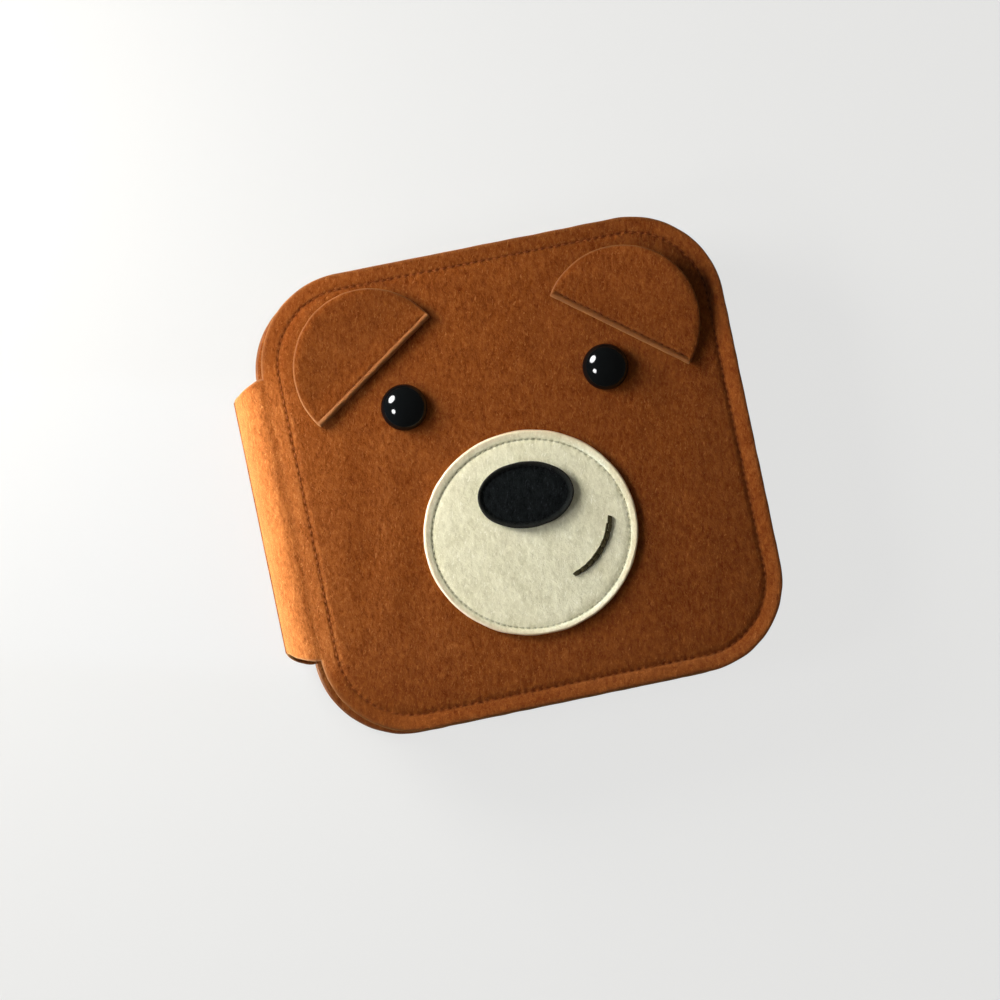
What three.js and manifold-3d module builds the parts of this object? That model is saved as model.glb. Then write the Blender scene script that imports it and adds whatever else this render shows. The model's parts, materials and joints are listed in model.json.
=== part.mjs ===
// A felt cloth book with an animal's face on its front cover, closed and lying on its back cover.
// X runs from the spine to the opening edge, Y up the face and Z out of the front cover, in millimetres.
// The origin is the middle of the back cover's outer face.
import * as THREE from 'three';
import { mergeVertices } from 'three/addons/utils/BufferGeometryUtils.js';
import Module from 'manifold-3d';

const wasm = await Module();
wasm.setup();

// Layers: the felts, the wadding, and the gap between layers that lie on each other
const GAP = 0.3;
const COVER_FELT = 2;
const LINING_FELT = 1.2;
const WADDING = 1.5;
const PAGE_FELT = 1.2;
const SHAPE_FELT = 1;
const FACE_FELT = 1.2;
const EAR_FELT = 2;

// Covers: rounded squares, sewn all round, puffed inside the seam by the wadding
const COVER_WIDTH = 151;
const COVER_HEIGHT = 149;
const COVER_RADIUS = 29.5;
const SEAM_INSET = 5;
const SEAM_GROOVE = 1.6;
const SEAM_DEPTH = 0.5;
const RIM_DROP = 0.3;
const CUT_EDGE = 0.4;
const PAD_INSET = 10;
const PAD_FOOT_INSET = 6.5;

// Spine: one band of cover felt, bent into a rounded U, with ends that dip towards its middle
const SPINE_HEIGHT = 93;
const SPINE_BULGE = 10;
const SPINE_END_DIP = 3.5;
const SPINE_CORNER = 1.2;

// Leaves: two sheets each, the back one with a tongue that is sewn to the inside of the spine
const LEAVES = 3;
const LEAF_MARGIN = 2.5;
const LEAF_FOLD_INSET = 4;
const TONGUE_LENGTH = 2;
const TAB_END_MARGIN = 1.3;
const SHAPE_SIZE = 60;
const SHAPE_ROUNDING = 4;
const STAR_POINTS = 5;
const STAR_WAIST_SHARE = 0.52;

// Muzzle and nose: ovals of felt, each with its own seam, and the smile's line of thread
const MUZZLE_WIDTH = 69;
const MUZZLE_HEIGHT = 65.5;
const MUZZLE_AT = { x: -1.5, y: -19.4 };
const MUZZLE_SEAM_INSET = 3.6;
const NOSE_WIDTH = 31;
const NOSE_HEIGHT = 21;
const NOSE_AT = { x: -0.9, y: -7.3 };
const NOSE_TURN = THREE.MathUtils.degToRad(-4);
const NOSE_SEAM_INSET = 1.6;
const PATCH_GROOVE = 1;
const PATCH_GROOVE_DEPTH = 0.3;
const SMILE_RADIUS = 21.9;
const SMILE_CENTRE = { x: 3.1, y: -14.6 };
const SMILE_START = THREE.MathUtils.degToRad(-12.6);
const SMILE_END = THREE.MathUtils.degToRad(-73.3);
const SMILE_WIDTH = 1.6;
const SMILE_HEIGHT = 0.6;
const SMILE_TIP_SHARE = 0.35;

// Eyes: domed buttons on stems, held behind the cover felt by washers. They are placed from the cover's side
// and top, as the ears are.
const EYE_DIAMETER = 15;
const EYE_DOME = 4.6;
const EYE_RIM = 0.8;
const EYE_IN_FROM_SIDE = 42.3;
const EYE_BELOW_TOP = 46.5;
const EYE_SPACING = COVER_WIDTH - 2 * EYE_IN_FROM_SIDE;
const EYE_LINE = COVER_HEIGHT / 2 - EYE_BELOW_TOP;
const STEM_DIAMETER = 4;
const WASHER_DIAMETER = 12;
const WASHER_THICKNESS = 1.2;

// Ears: felt discs cut straight just below the middle and sewn along one seam. The lip below the seam
// bends up, and the flap above it rises in an arc and then straight, by a share of its length. The seam's
// middle is placed from the cover's side and top.
const EAR_RADIUS = 25;
const EAR_LIP = 2.1;
const EAR_LIP_BEND = 1.15;
const EAR_FLAP_BEND = 8;
const EAR_LEFT = {
  inFromSide: 34.4,
  belowTop: 31.9,
  turn: THREE.MathUtils.degToRad(34),
  lipBend: THREE.MathUtils.degToRad(55),
  riseShare: 0.11,
};
const EAR_RIGHT = {
  inFromSide: 34.2,
  belowTop: 34.1,
  turn: THREE.MathUtils.degToRad(-37.5),
  lipBend: THREE.MathUtils.degToRad(34),
  riseShare: 0.19,
};

// Fineness of round outlines, and how far a cutting solid reaches past what it cuts
const CORNER_STEPS = 9;
const OVAL_STEPS = 44;
const BEND_STEPS = 20;
const LIP_STEPS = 4;
const LATHE_STEPS = 28;
const OVERRUN = 5;

// Heights that follow from the layers
const PAD_DEPTH = COVER_FELT + GAP + WADDING;
const COVER_STACK = PAD_DEPTH + GAP + LINING_FELT;
const LEAF_STACK = 2 * PAGE_FELT + GAP;
const SHAPE_STACK = SHAPE_FELT + GAP;
const COVER_SPACE = SHAPE_STACK + GAP;
const LEAF_SPACE = 2 * SHAPE_STACK + GAP;
const LEAF_PITCH = LEAF_STACK + LEAF_SPACE;
const THICKNESS = 2 * (COVER_STACK + COVER_SPACE) + LEAVES * LEAF_PITCH - LEAF_SPACE;
const FOLD_X = -COVER_WIDTH / 2;
const LEAF_FOLD_X = FOLD_X + LEAF_FOLD_INSET;

const BROWN = 0x9a5527;
const LINING_BROWN = 0x8c4c24;
const CREAM = 0xdcd7bc;
const PAGE_CREAM = 0xe4dcc6;
const BLACK = 0x1b1c1d;
const SHAPE_COLOURS = [0xb5483a, 0xd9a441, 0x4f7f9b, 0x6f9460, 0xd07c4b, 0x7a6a9c];

/** A merged, position-only copy of a closed geometry as a solid for joining and cutting. */
function solidOf(geometry) {
  const bare = geometry.clone();
  bare.deleteAttribute('normal');
  bare.deleteAttribute('uv');
  const merged = mergeVertices(bare);
  const mesh = new wasm.Mesh({
    numProp: 3,
    vertProperties: new Float32Array(merged.attributes.position.array),
    triVerts: new Uint32Array(merged.index.array),
  });
  return new wasm.Manifold(mesh);
}

/** A solid's faces as a geometry. */
function geometryOf(solid) {
  const mesh = solid.getMesh();
  const geometry = new THREE.BufferGeometry();
  geometry.setAttribute('position', new THREE.BufferAttribute(mesh.vertProperties, 3));
  geometry.setIndex(new THREE.BufferAttribute(mesh.triVerts, 1));
  geometry.computeVertexNormals();
  return geometry;
}

function cut(geometry, ...tools) {
  return geometryOf(tools.reduce((left, tool) => left.subtract(solidOf(tool)), solidOf(geometry)));
}

function common(geometry, other) {
  return geometryOf(solidOf(geometry).intersect(solidOf(other)));
}

function joined(geometry, other) {
  return geometryOf(solidOf(geometry).add(solidOf(other)));
}

/** Points evenly spaced along a circle's arc, both ends among them. */
function arc(x, y, radius, from, to, steps) {
  return Array.from({ length: steps + 1 }, (_, step) => {
    const angle = from + ((to - from) * step) / steps;
    return new THREE.Vector2(x + radius * Math.cos(angle), y + radius * Math.sin(angle));
  });
}

/** A rounded rectangle's outline at any inset, always with as many points. */
function roundedOutline(width, height, radius) {
  const across = width / 2 - radius;
  const up = height / 2 - radius;
  const middles = [[across, up], [-across, up], [-across, -up], [across, -up]];
  return (inset) => middles.flatMap(([x, y], quarter) => {
    const from = (quarter * Math.PI) / 2;
    return arc(x, y, radius - inset, from, from + Math.PI / 2, CORNER_STEPS);
  });
}

/** An oval's outline at any inset. */
function ovalOutline(width, height) {
  return (inset) => arc(0, 0, 1, 0, 2 * Math.PI, OVAL_STEPS).slice(1).map(
    ({ x, y }) => new THREE.Vector2(x * (width / 2 - inset), y * (height / 2 - inset)),
  );
}

/** A closed panel. Its section runs from the top face's middle round the edge to the underside's middle. */
function panel(outline, section) {
  const rings = section.map(([inset, z]) => outline(inset).map(({ x, y }) => [x, y, z]));
  const count = rings[0].length;
  const top = rings.length * count;
  const underside = top + 1;
  const points = [...rings.flat(), [0, 0, section[0][1]], [0, 0, section.at(-1)[1]]];
  const faces = [];
  for (let at = 0; at < count; at += 1) {
    const next = (at + 1) % count;
    faces.push(top, at, next);
    faces.push(underside, top - count + next, top - count + at);
    for (let ring = 0; ring < top - count; ring += count) {
      faces.push(ring + at, ring + count + at, ring + count + next);
      faces.push(ring + at, ring + count + next, ring + next);
    }
  }
  const geometry = new THREE.BufferGeometry();
  geometry.setAttribute('position', new THREE.Float32BufferAttribute(points.flat(), 3));
  geometry.setIndex(faces);
  geometry.computeVertexNormals();
  return geometry;
}

/** A flat felt piece with its cut edges eased, its underside at zero. */
function sheet(outline, thickness) {
  return panel(outline, [
    [CUT_EDGE, thickness],
    [0, thickness - CUT_EDGE],
    [0, CUT_EDGE],
    [CUT_EDGE, 0],
  ]);
}

/** A flat felt patch with a seam pressed into its face, its underside at zero. */
function patch(outline, seamInset) {
  return panel(outline, [
    [seamInset + PATCH_GROOVE, FACE_FELT],
    [seamInset, FACE_FELT - PATCH_GROOVE_DEPTH],
    [seamInset - PATCH_GROOVE, FACE_FELT],
    [CUT_EDGE, FACE_FELT],
    [0, FACE_FELT - CUT_EDGE],
    [0, CUT_EDGE],
    [CUT_EDGE, 0],
  ]);
}

/** A shape drawn in X and Z, drawn out along Y over a length centred on zero. */
function drawnAlongY(shape, length) {
  const geometry = new THREE.ExtrudeGeometry(shape, { depth: length, bevelEnabled: false });
  geometry.translate(0, 0, -length / 2);
  return geometry.rotateX(Math.PI / 2);
}

function drawnAlongZ(points, depth) {
  return new THREE.ExtrudeGeometry(new THREE.Shape(points), { depth, bevelEnabled: false });
}

/** A box from its low corner and its size. */
function box(x, y, z, width, height, depth) {
  const geometry = new THREE.BoxGeometry(width, height, depth);
  return geometry.translate(x + width / 2, y + height / 2, z + depth / 2);
}

function piece(name, geometry, color, roughness = 1) {
  const mesh = new THREE.Mesh(geometry, new THREE.MeshStandardMaterial({ color, roughness, metalness: 0 }));
  mesh.name = name;
  return mesh;
}

/** A cover's outline, short of the fold line by half a gap all round. */
function coverOutline() {
  return roundedOutline(COVER_WIDTH - GAP, COVER_HEIGHT - GAP, COVER_RADIUS - GAP / 2);
}

/** The cover felt, outer face at zero and inside below it: puffed face, pressed seam and rim. */
function coverFelt() {
  return panel(coverOutline(), [
    [SEAM_INSET + SEAM_GROOVE, 0],
    [SEAM_INSET + SEAM_GROOVE / 2, -RIM_DROP],
    [SEAM_INSET, -SEAM_DEPTH],
    [SEAM_INSET - SEAM_GROOVE / 2, -RIM_DROP],
    [CUT_EDGE, -RIM_DROP],
    [0, -RIM_DROP - CUT_EDGE],
    [0, CUT_EDGE - COVER_FELT],
    [CUT_EDGE, -COVER_FELT],
    [SEAM_INSET + SEAM_GROOVE, -COVER_FELT],
  ]);
}

/** The lining: its rim lies against the cover felt, and its middle steps down round the wadding. */
function coverLining() {
  const rim = COVER_FELT + GAP;
  return panel(coverOutline(), [
    [PAD_INSET, -PAD_DEPTH - GAP],
    [PAD_FOOT_INSET, -rim],
    [CUT_EDGE, -rim],
    [0, -rim - CUT_EDGE],
    [0, CUT_EDGE - rim - LINING_FELT],
    [CUT_EDGE, -rim - LINING_FELT],
    [PAD_FOOT_INSET, -rim - LINING_FELT],
    [PAD_INSET, -COVER_STACK],
  ]);
}

/** The wadding, in the space between the cover felt and the lining's stepped middle. */
function coverWadding() {
  return panel(coverOutline(), [
    [PAD_FOOT_INSET + 3 * GAP, -COVER_FELT - GAP],
    [PAD_INSET + GAP, -PAD_DEPTH],
  ]);
}

/** An upright hole for an eye's stem or washer, through every layer of a cover. */
function eyeHole(side, diameter) {
  const radius = diameter / 2 + GAP;
  const hole = new THREE.CylinderGeometry(radius, radius, 2 * COVER_STACK, LATHE_STEPS);
  hole.rotateX(Math.PI / 2);
  return hole.translate((side * EYE_SPACING) / 2, EYE_LINE, 0);
}

function frontCoverPanels() {
  const felt = cut(coverFelt(), eyeHole(-1, STEM_DIAMETER), eyeHole(1, STEM_DIAMETER));
  const wadding = cut(coverWadding(), eyeHole(-1, WASHER_DIAMETER), eyeHole(1, WASHER_DIAMETER));
  return [
    piece('front_cover_felt', felt, BROWN),
    piece('front_cover_wadding', wadding, PAGE_CREAM),
    piece('front_cover_lining', coverLining(), LINING_BROWN),
  ];
}

function backCoverPanels() {
  return [
    piece('back_cover_felt', coverFelt(), BROWN),
    piece('back_cover_wadding', coverWadding(), PAGE_CREAM),
    piece('back_cover_lining', coverLining(), LINING_BROWN),
  ];
}

/** Half an oval beside the fold line, from the book's back to its front. */
function spineCurve(bulge, halfHeight) {
  return arc(0, 0, 1, -Math.PI / 2, -1.5 * Math.PI, BEND_STEPS).map(({ x, y }) => new THREE.Vector2(
    FOLD_X - GAP / 2 + x * bulge,
    THICKNESS / 2 + y * halfHeight,
  ));
}

/** The band's outline seen from the front: its ends dip towards the middle of the bend. */
function spinePlan() {
  const end = (side) => Array.from({ length: BEND_STEPS + 1 }, (_, step) => {
    const share = step / BEND_STEPS;
    const half = SPINE_HEIGHT / 2 - SPINE_END_DIP * share ** 2 - SPINE_CORNER * share ** 12;
    return new THREE.Vector2(FOLD_X - SPINE_BULGE * share, side * half);
  });
  return drawnAlongZ([...end(1), ...end(-1).reverse()], THICKNESS);
}

function spineBand() {
  const half = THICKNESS / 2 - RIM_DROP;
  const outside = spineCurve(SPINE_BULGE - GAP / 2, half);
  const inside = spineCurve(SPINE_BULGE - GAP / 2 - COVER_FELT, half - COVER_FELT);
  const section = new THREE.Shape([...outside, ...inside.reverse()]);
  const band = common(drawnAlongY(section, SPINE_HEIGHT), spinePlan());
  return piece('spine_band', band, BROWN);
}

/** The room inside the bent band and on past the fold, a gap smaller all round. */
function spineRoom() {
  const half = THICKNESS / 2 - RIM_DROP - COVER_FELT - GAP;
  const bend = spineCurve(SPINE_BULGE - COVER_FELT - 1.5 * GAP, half);
  const right = LEAF_FOLD_X + OVERRUN;
  const low = new THREE.Vector2(right, THICKNESS / 2 - half);
  const high = new THREE.Vector2(right, THICKNESS / 2 + half);
  return drawnAlongY(new THREE.Shape([low, ...bend, high]), SPINE_HEIGHT);
}

/** How tall a leaf's tongue is, clear of the band's dipping ends. */
function tongueHeight() {
  return SPINE_HEIGHT - 2 * (SPINE_END_DIP + SPINE_CORNER + TAB_END_MARGIN);
}

/** The part of a leaf's tongue that is sewn down, from the band's inside to the leaf's fold. */
function leafTab(name, z) {
  const height = tongueHeight();
  const width = SPINE_BULGE + LEAF_FOLD_INSET - GAP / 2;
  const blank = box(FOLD_X - SPINE_BULGE, -height / 2, z, width, height, PAGE_FELT);
  return piece(name, common(blank, spineRoom()), PAGE_CREAM);
}

function leafOutline() {
  const width = COVER_WIDTH - LEAF_FOLD_INSET - TONGUE_LENGTH - LEAF_MARGIN;
  return roundedOutline(width, COVER_HEIGHT - 2 * LEAF_MARGIN, COVER_RADIUS - LEAF_MARGIN);
}

function leafMiddleX() {
  return (LEAF_FOLD_INSET + TONGUE_LENGTH - LEAF_MARGIN) / 2;
}

/** A leaf's back sheet, with the turning part of its tongue on the spine side. */
function backSheet() {
  const height = tongueHeight();
  const left = LEAF_FOLD_X + GAP / 2 - leafMiddleX();
  const tongue = box(left, -height / 2, 0, TONGUE_LENGTH + OVERRUN, height, PAGE_FELT);
  return joined(sheet(leafOutline(), PAGE_FELT), tongue);
}

/** Points round a regular shape whose corners lie alternately on two radii. */
function cornersOf(count, radius, waist) {
  return Array.from({ length: 2 * count }, (_, corner) => {
    const reach = corner % 2 === 0 ? radius : waist;
    return arc(0, 0, reach, Math.PI / 2 + (corner * Math.PI) / count, 0, 1)[0];
  });
}

/** An outline with its corners rounded by a curve that starts a set way before each. */
function softened(corners, rounding) {
  const shape = new THREE.Shape();
  const towards = (from, to) => from.clone().add(to.clone().sub(from).setLength(rounding));
  corners.forEach((corner, at) => {
    const before = towards(corner, corners.at(at - 1));
    const after = towards(corner, corners[(at + 1) % corners.length]);
    if (at === 0) shape.moveTo(before.x, before.y);
    else shape.lineTo(before.x, before.y);
    shape.quadraticCurveTo(corner.x, corner.y, after.x, after.y);
  });
  shape.closePath();
  return shape;
}

function heart(size) {
  const lobe = size / 4;
  const shape = new THREE.Shape();
  shape.moveTo(0, -size / 2);
  shape.bezierCurveTo(-lobe, -lobe, -2 * lobe, 0, -2 * lobe, lobe);
  shape.absarc(-lobe, lobe, lobe, Math.PI, 0, true);
  shape.absarc(lobe, lobe, lobe, Math.PI, 0, true);
  shape.bezierCurveTo(2 * lobe, 0, lobe, -lobe, 0, -size / 2);
  return shape;
}

/** The plain felt shapes, one for each page, from the front of the book to its back. */
function pageShapes() {
  const half = SHAPE_SIZE / 2;
  const even = (count) => softened(
    cornersOf(count, half, half * Math.cos(Math.PI / count)).filter((_, corner) => corner % 2 === 0),
    SHAPE_ROUNDING,
  );
  const circle = new THREE.Shape(ovalOutline(SHAPE_SIZE, SHAPE_SIZE)(0));
  const star = softened(cornersOf(STAR_POINTS, half, half * STAR_WAIST_SHARE), SHAPE_ROUNDING / 2);
  return [circle, even(4), even(3), star, heart(SHAPE_SIZE), even(6)];
}

function shapePiece(name, shape, color) {
  const options = { depth: SHAPE_FELT, bevelEnabled: false, curveSegments: CORNER_STEPS };
  return piece(name, new THREE.ExtrudeGeometry(shape, options), color);
}

/** One leaf in its own group, its underside at zero and its sheets centred on the group. */
function leaf(number, shapes, colours) {
  const group = new THREE.Group();
  const back = piece(`leaf_${number}_back_sheet`, backSheet(), PAGE_CREAM);
  const front = piece(`leaf_${number}_front_sheet`, sheet(leafOutline(), PAGE_FELT), PAGE_CREAM);
  front.position.z = PAGE_FELT + GAP;
  const frontShape = shapePiece(`leaf_${number}_front_shape`, shapes[0], colours[0]);
  frontShape.position.z = LEAF_STACK + GAP;
  const backShape = shapePiece(`leaf_${number}_back_shape`, shapes[1], colours[1]);
  backShape.rotation.y = Math.PI;
  backShape.position.z = -GAP;
  group.add(back, front, frontShape, backShape);
  return group;
}

/** The leaves from the front of the book to its back, and their tabs inside the spine. */
function leaves() {
  const shapes = pageShapes();
  return Array.from({ length: LEAVES }, (_, at) => {
    const z = COVER_STACK + COVER_SPACE + (LEAVES - 1 - at) * LEAF_PITCH;
    const pages = leaf(at + 1, shapes.slice(2 * at), SHAPE_COLOURS.slice(2 * at));
    pages.position.set(leafMiddleX(), 0, z);
    return [leafTab(`leaf_${at + 1}_tab`, z), pages];
  }).flat();
}

/** The smile's line of thread: part of a circle that narrows towards its two ends. */
function smile() {
  const side = (sign) => Array.from({ length: BEND_STEPS + 1 }, (_, step) => {
    const share = step / BEND_STEPS;
    const swell = SMILE_TIP_SHARE + (1 - SMILE_TIP_SHARE) * Math.sin(Math.PI * share);
    const radius = SMILE_RADIUS + (sign * SMILE_WIDTH * swell) / 2;
    const angle = SMILE_START + (SMILE_END - SMILE_START) * share;
    return arc(SMILE_CENTRE.x, SMILE_CENTRE.y, radius, angle, angle, 1)[0];
  });
  return drawnAlongZ([...side(1), ...side(-1).reverse()], SMILE_HEIGHT);
}

/** Muzzle, nose and smile, each on the layer below it. */
function muzzle() {
  const base = piece('muzzle', patch(ovalOutline(MUZZLE_WIDTH, MUZZLE_HEIGHT), MUZZLE_SEAM_INSET), CREAM);
  base.position.set(MUZZLE_AT.x, MUZZLE_AT.y, GAP);
  const nose = piece('nose', patch(ovalOutline(NOSE_WIDTH, NOSE_HEIGHT), NOSE_SEAM_INSET), BLACK);
  nose.position.set(NOSE_AT.x, NOSE_AT.y, 2 * GAP + FACE_FELT);
  nose.rotation.z = NOSE_TURN;
  const line = piece('smile_thread', smile(), LINING_BROWN);
  line.position.z = 2 * GAP + FACE_FELT;
  return [base, nose, line];
}

/** An eye turned about its own axis: stem, flat underside, rim and dome. */
function eyeButton() {
  const radius = EYE_DIAMETER / 2;
  const ball = (radius * radius + EYE_DOME * EYE_DOME) / (2 * EYE_DOME);
  const middle = GAP + EYE_RIM + EYE_DOME - ball;
  const rimAngle = Math.asin((ball - EYE_DOME) / ball);
  const dome = arc(0, middle, ball, rimAngle, Math.PI / 2, BEND_STEPS / 2).slice(0, -1);
  return new THREE.LatheGeometry([
    new THREE.Vector2(0, -PAD_DEPTH),
    new THREE.Vector2(STEM_DIAMETER / 2, -PAD_DEPTH),
    new THREE.Vector2(STEM_DIAMETER / 2, GAP),
    new THREE.Vector2(radius, GAP),
    ...dome,
    new THREE.Vector2(0, GAP + EYE_RIM + EYE_DOME),
  ], LATHE_STEPS).rotateX(Math.PI / 2);
}

/** The ring that holds an eye's stem behind the cover felt. */
function eyeWasher() {
  const bore = STEM_DIAMETER / 2 + GAP;
  const rim = WASHER_DIAMETER / 2;
  const high = -COVER_FELT - GAP;
  const low = high - WASHER_THICKNESS;
  const section = [[bore, low], [rim, low], [rim, high], [bore, high], [bore, low]];
  const points = section.map(([x, y]) => new THREE.Vector2(x, y));
  return new THREE.LatheGeometry(points, LATHE_STEPS).rotateX(Math.PI / 2);
}

function eye(name, side) {
  const group = new THREE.Group();
  group.position.set((side * EYE_SPACING) / 2, EYE_LINE, 0);
  group.add(piece(`eye_${name}`, eyeButton(), BLACK, 0.08));
  group.add(piece(`eye_${name}_washer`, eyeWasher(), PAGE_CREAM, 0.4));
  return group;
}

/** One face of an ear's lip, from its cut edge to the seam, at a radius of the bend. */
function lipFace(radius, bend) {
  const outside = EAR_LIP_BEND + EAR_FELT / 2;
  const straight = EAR_LIP - EAR_LIP_BEND * bend;
  const curve = Array.from({ length: LIP_STEPS + 1 }, (_, step) => {
    const angle = bend * (1 - step / LIP_STEPS);
    return new THREE.Vector2(radius * Math.sin(angle), outside - radius * Math.cos(angle));
  });
  const end = new THREE.Vector2(Math.cos(bend), Math.sin(bend)).setLength(straight).add(curve[0]);
  return [end, ...curve];
}

/** An ear's bent slab, seam at zero: Y runs up the ear, Z off the cover, X along the seam. */
function earSlab({ lipBend, riseShare }) {
  const reach = EAR_RADIUS + OVERRUN;
  const bent = (y) => (y < EAR_FLAP_BEND ? (y * y) / (2 * EAR_FLAP_BEND) : y - EAR_FLAP_BEND / 2);
  const flap = (height) => Array.from({ length: BEND_STEPS }, (_, step) => {
    const y = (reach * (step + 1)) / BEND_STEPS;
    return new THREE.Vector2(-y, riseShare * bent(y) + height);
  });
  const under = [...lipFace(EAR_LIP_BEND + EAR_FELT / 2, lipBend), ...flap(0)];
  const over = [...lipFace(EAR_LIP_BEND - EAR_FELT / 2, lipBend), ...flap(EAR_FELT)];
  return drawnAlongY(new THREE.Shape([...under, ...over.reverse()]), 2 * reach).rotateZ(-Math.PI / 2);
}

/** The ear's disc between two lines across it, as a tall prism round the slab. */
function earPlan(low, high) {
  const [from, to] = [low, high].map((y) => Math.asin(y / EAR_RADIUS));
  const right = arc(0, 0, EAR_RADIUS, from, to, OVAL_STEPS / 4);
  const left = right.map(({ x, y }) => new THREE.Vector2(-x, y)).reverse();
  const points = high < EAR_RADIUS ? [...right, ...left] : [...right, ...left.slice(1)];
  return drawnAlongZ(points, 2 * OVERRUN + EAR_RADIUS).translate(0, 0, -OVERRUN);
}

/** One ear: the strip sewn down below the seam, and the flap that lifts above it. */
function ear(name, side, at) {
  const group = new THREE.Group();
  group.position.set(side * (COVER_WIDTH / 2 - at.inFromSide), COVER_HEIGHT / 2 - at.belowTop, GAP);
  group.rotation.z = at.turn;
  const lip = common(earSlab(at), earPlan(-EAR_LIP - EAR_FELT, -GAP / 2));
  const flap = common(earSlab(at), earPlan(GAP / 2, EAR_RADIUS));
  group.add(piece(`ear_${name}_sewn_edge`, lip, BROWN));
  group.add(piece(`ear_${name}_flap`, flap, BROWN));
  return group;
}

function backCover() {
  const group = new THREE.Group();
  group.rotation.x = Math.PI;
  group.add(...backCoverPanels());
  return group;
}

function frontCover() {
  const group = new THREE.Group();
  group.position.z = THICKNESS;
  group.add(...frontCoverPanels(), ...muzzle());
  group.add(eye('left', -1), eye('right', 1));
  group.add(ear('left', -1, EAR_LEFT), ear('right', 1, EAR_RIGHT));
  return group;
}

const book = new THREE.Group();
book.add(backCover(), spineBand(), ...leaves(), frontCover());

export default book;
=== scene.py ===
import json
import math

import bpy
import numpy as np
from mathutils import Matrix, Vector
from mathutils.geometry import delaunay_2d_cdt

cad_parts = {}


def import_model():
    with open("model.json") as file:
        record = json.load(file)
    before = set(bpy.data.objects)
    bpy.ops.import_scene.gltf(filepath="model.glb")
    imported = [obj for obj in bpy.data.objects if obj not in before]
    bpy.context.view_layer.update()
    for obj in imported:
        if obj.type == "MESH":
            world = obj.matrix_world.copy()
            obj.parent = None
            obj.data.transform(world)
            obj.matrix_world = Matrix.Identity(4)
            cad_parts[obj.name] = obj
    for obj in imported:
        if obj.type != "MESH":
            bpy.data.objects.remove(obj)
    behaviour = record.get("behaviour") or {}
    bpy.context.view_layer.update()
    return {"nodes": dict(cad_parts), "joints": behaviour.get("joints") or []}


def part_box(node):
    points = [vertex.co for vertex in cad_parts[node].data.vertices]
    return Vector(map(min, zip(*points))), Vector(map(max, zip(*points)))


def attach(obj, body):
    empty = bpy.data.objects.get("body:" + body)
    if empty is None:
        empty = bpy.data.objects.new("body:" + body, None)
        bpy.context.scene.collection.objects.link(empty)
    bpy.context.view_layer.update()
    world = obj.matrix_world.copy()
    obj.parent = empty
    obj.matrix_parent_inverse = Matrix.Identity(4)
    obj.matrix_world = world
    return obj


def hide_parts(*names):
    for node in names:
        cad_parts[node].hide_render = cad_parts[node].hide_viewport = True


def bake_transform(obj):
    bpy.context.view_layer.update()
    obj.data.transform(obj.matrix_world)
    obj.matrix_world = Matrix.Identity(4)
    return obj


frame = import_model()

# The script works in millimetres and in the frame's own axes, and meshes are made in metres
MM = 0.001

# Felts, as thick as the frame's own sheets
COVER_FELT = 2.0
LINING_FELT = 1.2
PAGE_FELT = 1.2
SHAPE_FELT = 1.0
FACE_FELT = 1.2
EAR_FELT = 2.0
GAP = 0.3

# How a cut edge is worn: its corners drop by the shoulder, and it swells between them
SHOULDER = 0.28
EDGE_BULGE = 0.16
EDGE_ROWS = 3
EDGE_WAVE = 0.05

# Covers: the corner's radius, the seam's place, the rim's rise and the relief of the face
COVER_RADIUS = 29.35
COVER_SEAM = 5.0
COVER_PITCH = 2.5
COVER_GROOVE = 0.72
RIM_FLARE = 2.45
RIM_FLARE_TOWARDS = math.radians(-35)
RIM_FLARE_POWER = 1.6
RIM_FLARE_MEAN = 0.5
RIM_FLARE_SWING = 0.6
RIM_FREE_REACH = 9.0
RIM_FREE_START = -60.0
RIM_FREE_END = -50.0
SPINE_FALL = 1.45
SPINE_FALL_FADE = 0.8
FOLLOW_SHARE = 0.35
HOLE_DEPTH_SHARE = 0.24
COVER_CROWN = 0.25
# A pale band along the free rim's cut edge: rubbed felt and painted highlight
COVER_WEAR_AND_HIGHLIGHT = 0.35
COVER_WEAR_AND_HIGHLIGHT_WIDTH = 1.5
COVER_UNEVEN = 0.07
COVER_WAVELENGTH = 14.0
COVER_RIM_UNEVEN_SHARE = 0.3
# How dark the cover's seam is painted: compressed felt and painted shade
COVER_PRESS_AND_SHADE = 0.8
COVER_RINGS = [0, 0.35, 1.2, 2.4, 3.3, 4.0, 4.5, 5.0, 5.5, 6.1, 7.0, 8.4, 10.5]
COVER_GRID = 2.0
COVER_POINTS_PER_STITCH = 5

# Spine: how far the band's ends dip by the middle of its bend, its columns and where it folds
SPINE_END_DIP = 3.5
SPINE_CORNER = 1.2
SPINE_COLUMNS = 22
JOIN_SLIVER = 0.04

# Linings, wadding and leaves
LINING_RINGS = [0, 0.35, 1.6, 3.2, 4.3, 5.0, 5.7, 7.0, 9.0, 12.0]
LINING_STEP = 1.8
LINING_STEP_INSET = 12.0
LINING_GROOVE = 0.35
WADDING_RADIUS = 21.35
WADDING_SEAM = 2.0
WADDING_SLOPE = 7.0
WADDING_THINNING = 0.35
WADDING_RINGS = [0, 0.4, 1.2, 2.4, 4.0]
LEAF_RADIUS = 27.0
LEAF_SEAM = 4.0
LEAF_RINGS = [0, 0.35, 1.4, 2.7, 3.5, 4.0, 4.5, 5.4, 7.5]
LEAF_GROOVE = 0.3
# How dark a leaf's seam is painted: compressed felt and painted shade
LEAF_PRESS_AND_SHADE = 0.6
TONGUE_COLUMNS = 18
PAGE_GRID = 3.0
PAGE_POINTS_PER_STITCH = 3

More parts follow.
